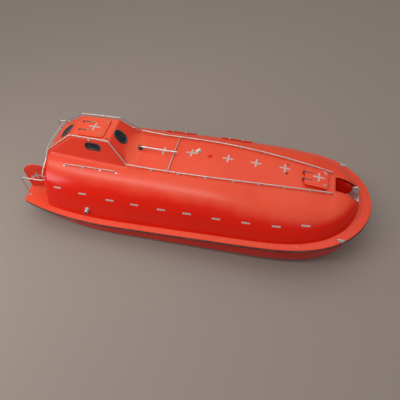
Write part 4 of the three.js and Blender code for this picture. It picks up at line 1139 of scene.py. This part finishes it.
for y in (-0.3, 0.3):
    knuckle_parts.append(sweep([(-4.507, y, 2.192), (-4.44, y, 2.145)], 0.01, 12))
fit("knuckle_tube", joined(*knuckle_parts), stainless, "knuckle_rail")
fit("rail_pads", joined(*pads), black_rubber)


# The folding mast lies forward over the cross rail.
# It turns up on a pin between the two ears of its bracket.
MAST = Vector((-1.74, 0, 2.225))
mast_rise = cross_z + CROSS_RISE + RAIL + 0.021 + 0.005
mast_way = Vector((CROSS_X - MAST.x, 0, mast_rise - MAST.z)).normalized()
mast_length = (-0.6 - MAST.x) / mast_way.x
mast_shape = [(-0.026, 0.012), (-0.022, 0.018), (-0.015, 0.0205), (0.065, 0.0205), (0.075, 0.028),
              (0.08, 0.0295), (0.2, 0.0295), (0.206, 0.027), (0.21, 0.021), (mast_length - 0.03, 0.021),
              (mast_length - 0.028, 0.0235), (mast_length - 0.004, 0.0235), (mast_length, 0.018)]
mast_tube = turned(mast_shape, MAST, mast_way, 22)
eye_foot = MAST + mast_way * (mast_length - 0.09)
eye_turns = np.linspace(-math.pi / 2, 3 * math.pi / 2, 17)
eye_ring = [Vector((0, 0.013 * math.cos(a), 0.021 + 0.016 * (1 + math.sin(a)))) for a in eye_turns]
eye = sweep([eye_foot + point for point in eye_ring], 0.004, 8)
white_steel = steel("mast_paint_finish", "rail_steel", (0.78, 0.74, 0.7), (0.45, 0.3, 0.22), 0.42)
fit("mast", joined(mast_tube, eye), white_steel, "folding_mast", body="mast")
bracket_bolts = four_bolts(MAST.x, 0, MAST.z - 0.068, 0.045, 0.048, 0.006)
fit("mast_foot", joined(eased(own("mast_bracket"), 0.003), *bracket_bolts), dark_iron, "mast_bracket",
    slot="rail_steel")


# The release hooks are hot-dip galvanised: two cheek plates on a seat, and the hook on a pin between them.
# The fore one stands in the notch on a pedestal, the after one on the stern deck.
for end, x, deck in (("fore", 4.58, sheer(4.58) + 0.19), ("aft", -4.98, DECK_TOP)):
    seat_bolts = four_bolts(x, 0, deck + 0.026, 0.14, 0.08, 0.011)
    pin_caps = [turned([(0, 0.028), (0.008, 0.028), (0.012, 0.022), (0.012, 0.002)],
                       (x + 0.02, s * 0.058, deck + 0.33), (0, s, 0)) for s in (-1, 1)]
    fit(f"{end}_cheeks", joined(eased(own(f"{end}_hook_frame"), 0.004), *seat_bolts, *pin_caps), galvanised,
        f"{end}_hook_frame")
    fit(f"{end}_tongue", eased(own(f"{end}_release_hook"), 0.006), galvanised, f"{end}_release_hook",
        body=f"{end}_hook")


# Small fittings: horn cleats on the bow ledge, the exhaust's flanged outlet, a mushroom vent and two lights.
# Two plugs in the roof and the bolts of the ledge complete them.
EXHAUST_X = -3.05
EXHAUST_Z = 1.0
for side, s in SIDES:
    x = 4.33
    y = s * (plan_half(LEDGE_PLAN, x) - 0.06)
    cleat_bolts = four_bolts(x, y, sheer(x) + 0.025, 0.055, 0.018, 0.006)
    fit(f"cleat_{side}", joined(eased(own(f"bow_cleat_{side}"), 0.004), *cleat_bolts), galvanised,
        f"bow_cleat_{side}")

outlet_shape = [(-0.2, 0.055), (0.0, 0.055), (0.02, 0.055), (0.024, 0.052), (0.024, 0.043), (0.02, 0.041),
                (-0.01, 0.041), (-0.011, 0.001)]
outlet = turned(outlet_shape, (EXHAUST_X, -1.82, EXHAUST_Z), (0, -1, 0), 28)
ring_y = skin.ray_cast(Vector((EXHAUST_X, -3, EXHAUST_Z)), Vector((0, 1, 0)))[0].y
ring_shape = [(-0.02, 0.078), (0.005, 0.078), (0.008, 0.075), (0.008, 0.056)]
exhaust_ring = turned(ring_shape, (EXHAUST_X, ring_y, EXHAUST_Z), (0, -1, 0), 28)
exhaust_bolts = []
for a in np.radians((45, 135, 225, 315)):
    bolt_at = (EXHAUST_X + 0.066 * math.cos(a), -1.787, EXHAUST_Z + 0.066 * math.sin(a))
    exhaust_bolts.append(bolt(bolt_at, (0, -1, 0), 0.005))
fit("exhaust", joined(outlet, exhaust_ring, *exhaust_bolts), galvanised, "exhaust_outlet")

vent_foot = Vector((0.35, 0.12, skin_z(0.35, 0.12)))
vent_shape = [(-0.02, 0.04), (0.004, 0.044), (0.008, 0.034), (0.034, 0.032), (0.036, 0.056), (0.044, 0.06),
              (0.056, 0.057), (0.068, 0.044), (0.0745, 0.02), (0.075, 0.001)]
fit("vent", turned(vent_shape, vent_foot, (0, 0, 1), 28), canopy_gelcoat, "roof_vent")

plastic = Finish("light_housing_finish", "light_housing", roughness=0.4, specular_ior_level=0.5)
plastic_dirt = plastic.ramp(plastic.noise(18, 4), 0.45, 0.75) * 0.5
plastic.feed(base_color=plastic.mix(plastic_dirt, (0.7, 0.71, 0.5), (0.36, 0.33, 0.24)),
             roughness=0.35 + plastic_dirt * 0.4)
light_foot = Vector((-0.02, 0.215, skin_z(-0.02, 0.215)))
at_light = Matrix.Translation(light_foot) @ Matrix.Rotation(math.radians(55), 4, "Z")
light_parts = [eased(rounded_plate(0.1, 0.052, 0.045, -0.02, 0.03), 0.006, 3),
               eased(rounded_plate(0.088, 0.042, 0.036, 0.02, 0.08), 0.016, 5)]
light_parts += [sweep([(dx, -0.046, 0.02), (dx, -0.046, 0.07), (dx, -0.03, 0.084), (dx, 0.03, 0.084),
                       (dx, 0.046, 0.07), (dx, 0.046, 0.02)], 0.003, 8) for dx in (-0.04, 0.04)]
fit("light_case", placed(joined(*light_parts), at_light), plastic, "roof_light")

lamp_base = Vector((-2.54, -0.38, TOWER_TOP))
amber = Finish("lamp_amber_finish", "lamp_amber", roughness=0.12, specular_ior_level=0.6, coat_weight=0.5)
amber_dirt = amber.ramp(amber.noise(30, 3), 0.4, 0.8) * 0.4
amber.feed(base_color=amber.mix(amber_dirt, (0.72, 0.24, 0.015), (0.35, 0.16, 0.05)),
           roughness=0.12 + amber_dirt)
lens_shape = [(0.018, 0.02), (0.02, 0.024), (0.045, 0.0245), (0.06, 0.02), (0.069, 0.01), (0.07, 0.001)]
fit("lamp_lens", turned(lens_shape, lamp_base, (0, 0, 1), 24), amber, "tower_lamp")
lamp_foot = turned([(-0.004, 0.028), (0.014, 0.028), (0.02, 0.026), (0.021, 0.02)], lamp_base, (0, 0, 1), 24)
fit("lamp_foot", lamp_foot, dark_iron)

plugs = []
for x, y in ((2.61, 0.34), (2.61, -0.02)):
    base, normal = skin.find_nearest(Vector((x, y, skin_z(x, y))))[:2]
    plugs.append(turned([(-0.004, 0.034), (0.008, 0.034), (0.014, 0.028), (0.015, 0.012), (0.018, 0.01),
                         (0.018, 0.001)], base, normal, 22))
fit("roof_plugs", joined(*plugs), black_rubber)
ledge_bolts = []
for x in np.arange(-4.3, 4.2, 0.34):
    ledge_bolts += [bolt((x, s * (plan_half(LEDGE_PLAN, x) - 0.11), sheer(x) + 0.0002), (0, 0, 1), 0.0065)
                    for s in (-1, 1)]
fit("ledge_bolts", joined(*ledge_bolts), stainless)


# Reflective tape in short strips runs along both flanks.
# Crosses of it on the roof are seen from the air.
FLANK_TAPE = [(-4.007, 1.445, 1.483), (-3.17, 1.514, 1.473), (-2.306, 1.556, 1.433), (-1.539, 1.567, 1.43),
              (-0.73, 1.578, 1.425), (0.036, 1.58, 1.444), (0.88, 1.589, 1.442), (1.719, 1.577, 1.468),
              (2.553, 1.542, 1.493), (3.334, 1.39, 1.539)]
strips = []
for x, y, z in FLANK_TAPE:
    for s in (-1, 1):
        under_lid = s > 0 and any(abs(x - centre) < 0.62 for centre in SIDE_HATCHES.values())
        near = Vector((x, s * y, z - (0.1 if under_lid else 0)))
        place, normal = skin.find_nearest(near)[:2]
        ahead = skin.find_nearest(near + Vector((0.1, 0, 0.004)))[0] - place
        strips.append(strip(place, ahead, normal.cross(ahead), 0.24, 0, skin))
fit("flank_tape", joined(*strips), tape, sharp=60)
crosses = []
for x, y in ((-1.03, 0.06), (-0.2, 0.14), (0.89, 0.13), (1.71, 0.15), (2.54, 0.17)):
    place, normal = skin.find_nearest(Vector((x, y, skin_z(x, y))))[:2]
    across = normal.cross(Vector((1, 0, 0)))
    crosses.append(cross(place, across.cross(normal), across, 0.31, skin))
fit("roof_tape", joined(*crosses), tape, sharp=60)


# Under the stern a four-bladed bronze propeller turns inside a steering nozzle.
# The nozzle is carried on its stock and the keel's heel. The keel is a moulded skeg with rounded edges.
SCREW = Vector((-4.72, 0, -0.31))


def paint(name, slot, colour, worn, roughness):
    """Paint with scuffs, stains and a faint orange-peel."""
    coat = Finish(name, slot, roughness=roughness, specular_ior_level=0.45)
    stain = coat.ramp(coat.noise(3.2, 5), 0.48, 0.75) * 0.5
    chip = coat.ramp(coat.noise(28, 3), 0.68, 0.72) * 0.6
    coat.feed(base_color=coat.mix(chip, coat.mix(stain, colour, worn), tuple(0.5 * c for c in worn)),
              roughness=roughness + stain * 0.3)
    coat.bump(coat.noise(120, 2), 0.0006)
    return coat


bronze = steel("bronze_finish", "bronze", (0.55, 0.33, 0.13), (0.12, 0.2, 0.13), 0.35)
nozzle_paint = paint("nozzle_paint_finish", "nozzle_paint", (0.6, 0.03, 0.01), (0.3, 0.06, 0.04), 0.4)
radii = np.array((0.16, 0.3, 0.5, 0.7, 0.85, 0.95, 1.0))
chords = np.array((0.1, 0.122, 0.152, 0.17, 0.16, 0.118, 0.05))
twists = np.radians((58, 48, 38, 30, 24, 21, 20))
blade_rows = []
for share, chord, twist in zip(radii, chords, twists):
    row = []
    for a in np.linspace(0, 2 * math.pi, 19)[:-1]:
        along = 0.5 * math.cos(a) * chord
        thick = math.sin(a) * (0.0075 - 0.0055 * share) + 0.006 * math.sin(math.pi * (along / chord + 0.5))
        row.append((along * math.sin(twist) + thick * math.cos(twist),
                    along * math.cos(twist) - thick * math.sin(twist), 0.25 * share))
    blade_rows.append(row)
blade_turns = [Matrix.Rotation(k * math.pi / 2, 4, "X") for k in range(4)]
screw_parts = [placed(loft(blade_rows), Matrix.Translation(SCREW) @ turn) for turn in blade_turns]
hub_shape = [(-0.11, 0.001), (-0.108, 0.014), (-0.095, 0.03), (-0.075, 0.041), (-0.073, 0.046),
             (-0.05, 0.048), (0.07, 0.048), (0.075, 0.044), (0.075, 0.033), (0.8, 0.033)]
screw_parts.append(turned(hub_shape, SCREW, (1, 0, 0), 28))
fit("screw", joined(*screw_parts), bronze, "propeller", body="propeller")

section = [(0.27, -0.125), (0.275, -0.1265), (0.282, -0.124), (0.294, 0.02), (0.297, 0.06), (0.294, 0.1),
           (0.286, 0.122), (0.279, 0.125), (0.273, 0.115), (0.2705, 0.08), (0.27, 0.02)]
duct_rows = []
for a in np.linspace(0, 2 * math.pi, 61)[:-1]:
    ring = [Vector((along, radius * math.cos(a), radius * math.sin(a))) for radius, along in section]
    duct_rows.append([SCREW + point for point in ring])
duct = loft(duct_rows + duct_rows[:1], capped=False)
stock = turned([(0.272, 0.034), (0.3, 0.034), (0.31, 0.0245), (0.73, 0.0245)], SCREW, (0, 0, 1), 24)
pintle = turned([(0.272, 0.03), (0.285, 0.028), (0.29, 0.0195), (0.346, 0.0195)], SCREW, (0, 0, -1), 24)
fit("nozzle_duct", joined(duct, stock, pintle), nozzle_paint, "steering_nozzle", body="nozzle")
fit("keel", eased(own("keel_and_skeg"), 0.01), hull_gelcoat, "keel_and_skeg")


# Inside are a painted floor, moulded benches round the sides and down the middle, the engine's case,
# the steersman's padded seat under the tower and the console ahead of it.
cabin_grey = paint("cabin_grey_finish", "cabin_grey", (0.36, 0.37, 0.37), (0.2, 0.19, 0.17), 0.5)
bench_orange = paint("bench_orange_finish", "bench_orange", (0.75, 0.16, 0.03), (0.4, 0.15, 0.08), 0.45)
fit("floor_panel", eased(own("cabin_floor"), 0.006), cabin_grey, "cabin_floor")
for node in ("bench_starboard", "bench_port", "bench_centre"):
    fit(f"{node}_moulding", eased(own(node), 0.018, 4), bench_orange, node)
case_panels = [eased(box((-3.74, s * 0.262 - 0.004, 0.02), (-3.04, s * 0.262 + 0.004, 0.36)), 0.003, 2)
               for s in (-1, 1)]
fit("engine_case", joined(eased(own("engine_block"), 0.02, 4), *case_panels), cabin_grey, "engine_block")
fit("seat", eased(own("coxswain_seat"), 0.022, 4), cabin_grey, "coxswain_seat")
fit("console", eased(own("helm_console"), 0.014, 4), cabin_grey, "helm_console")
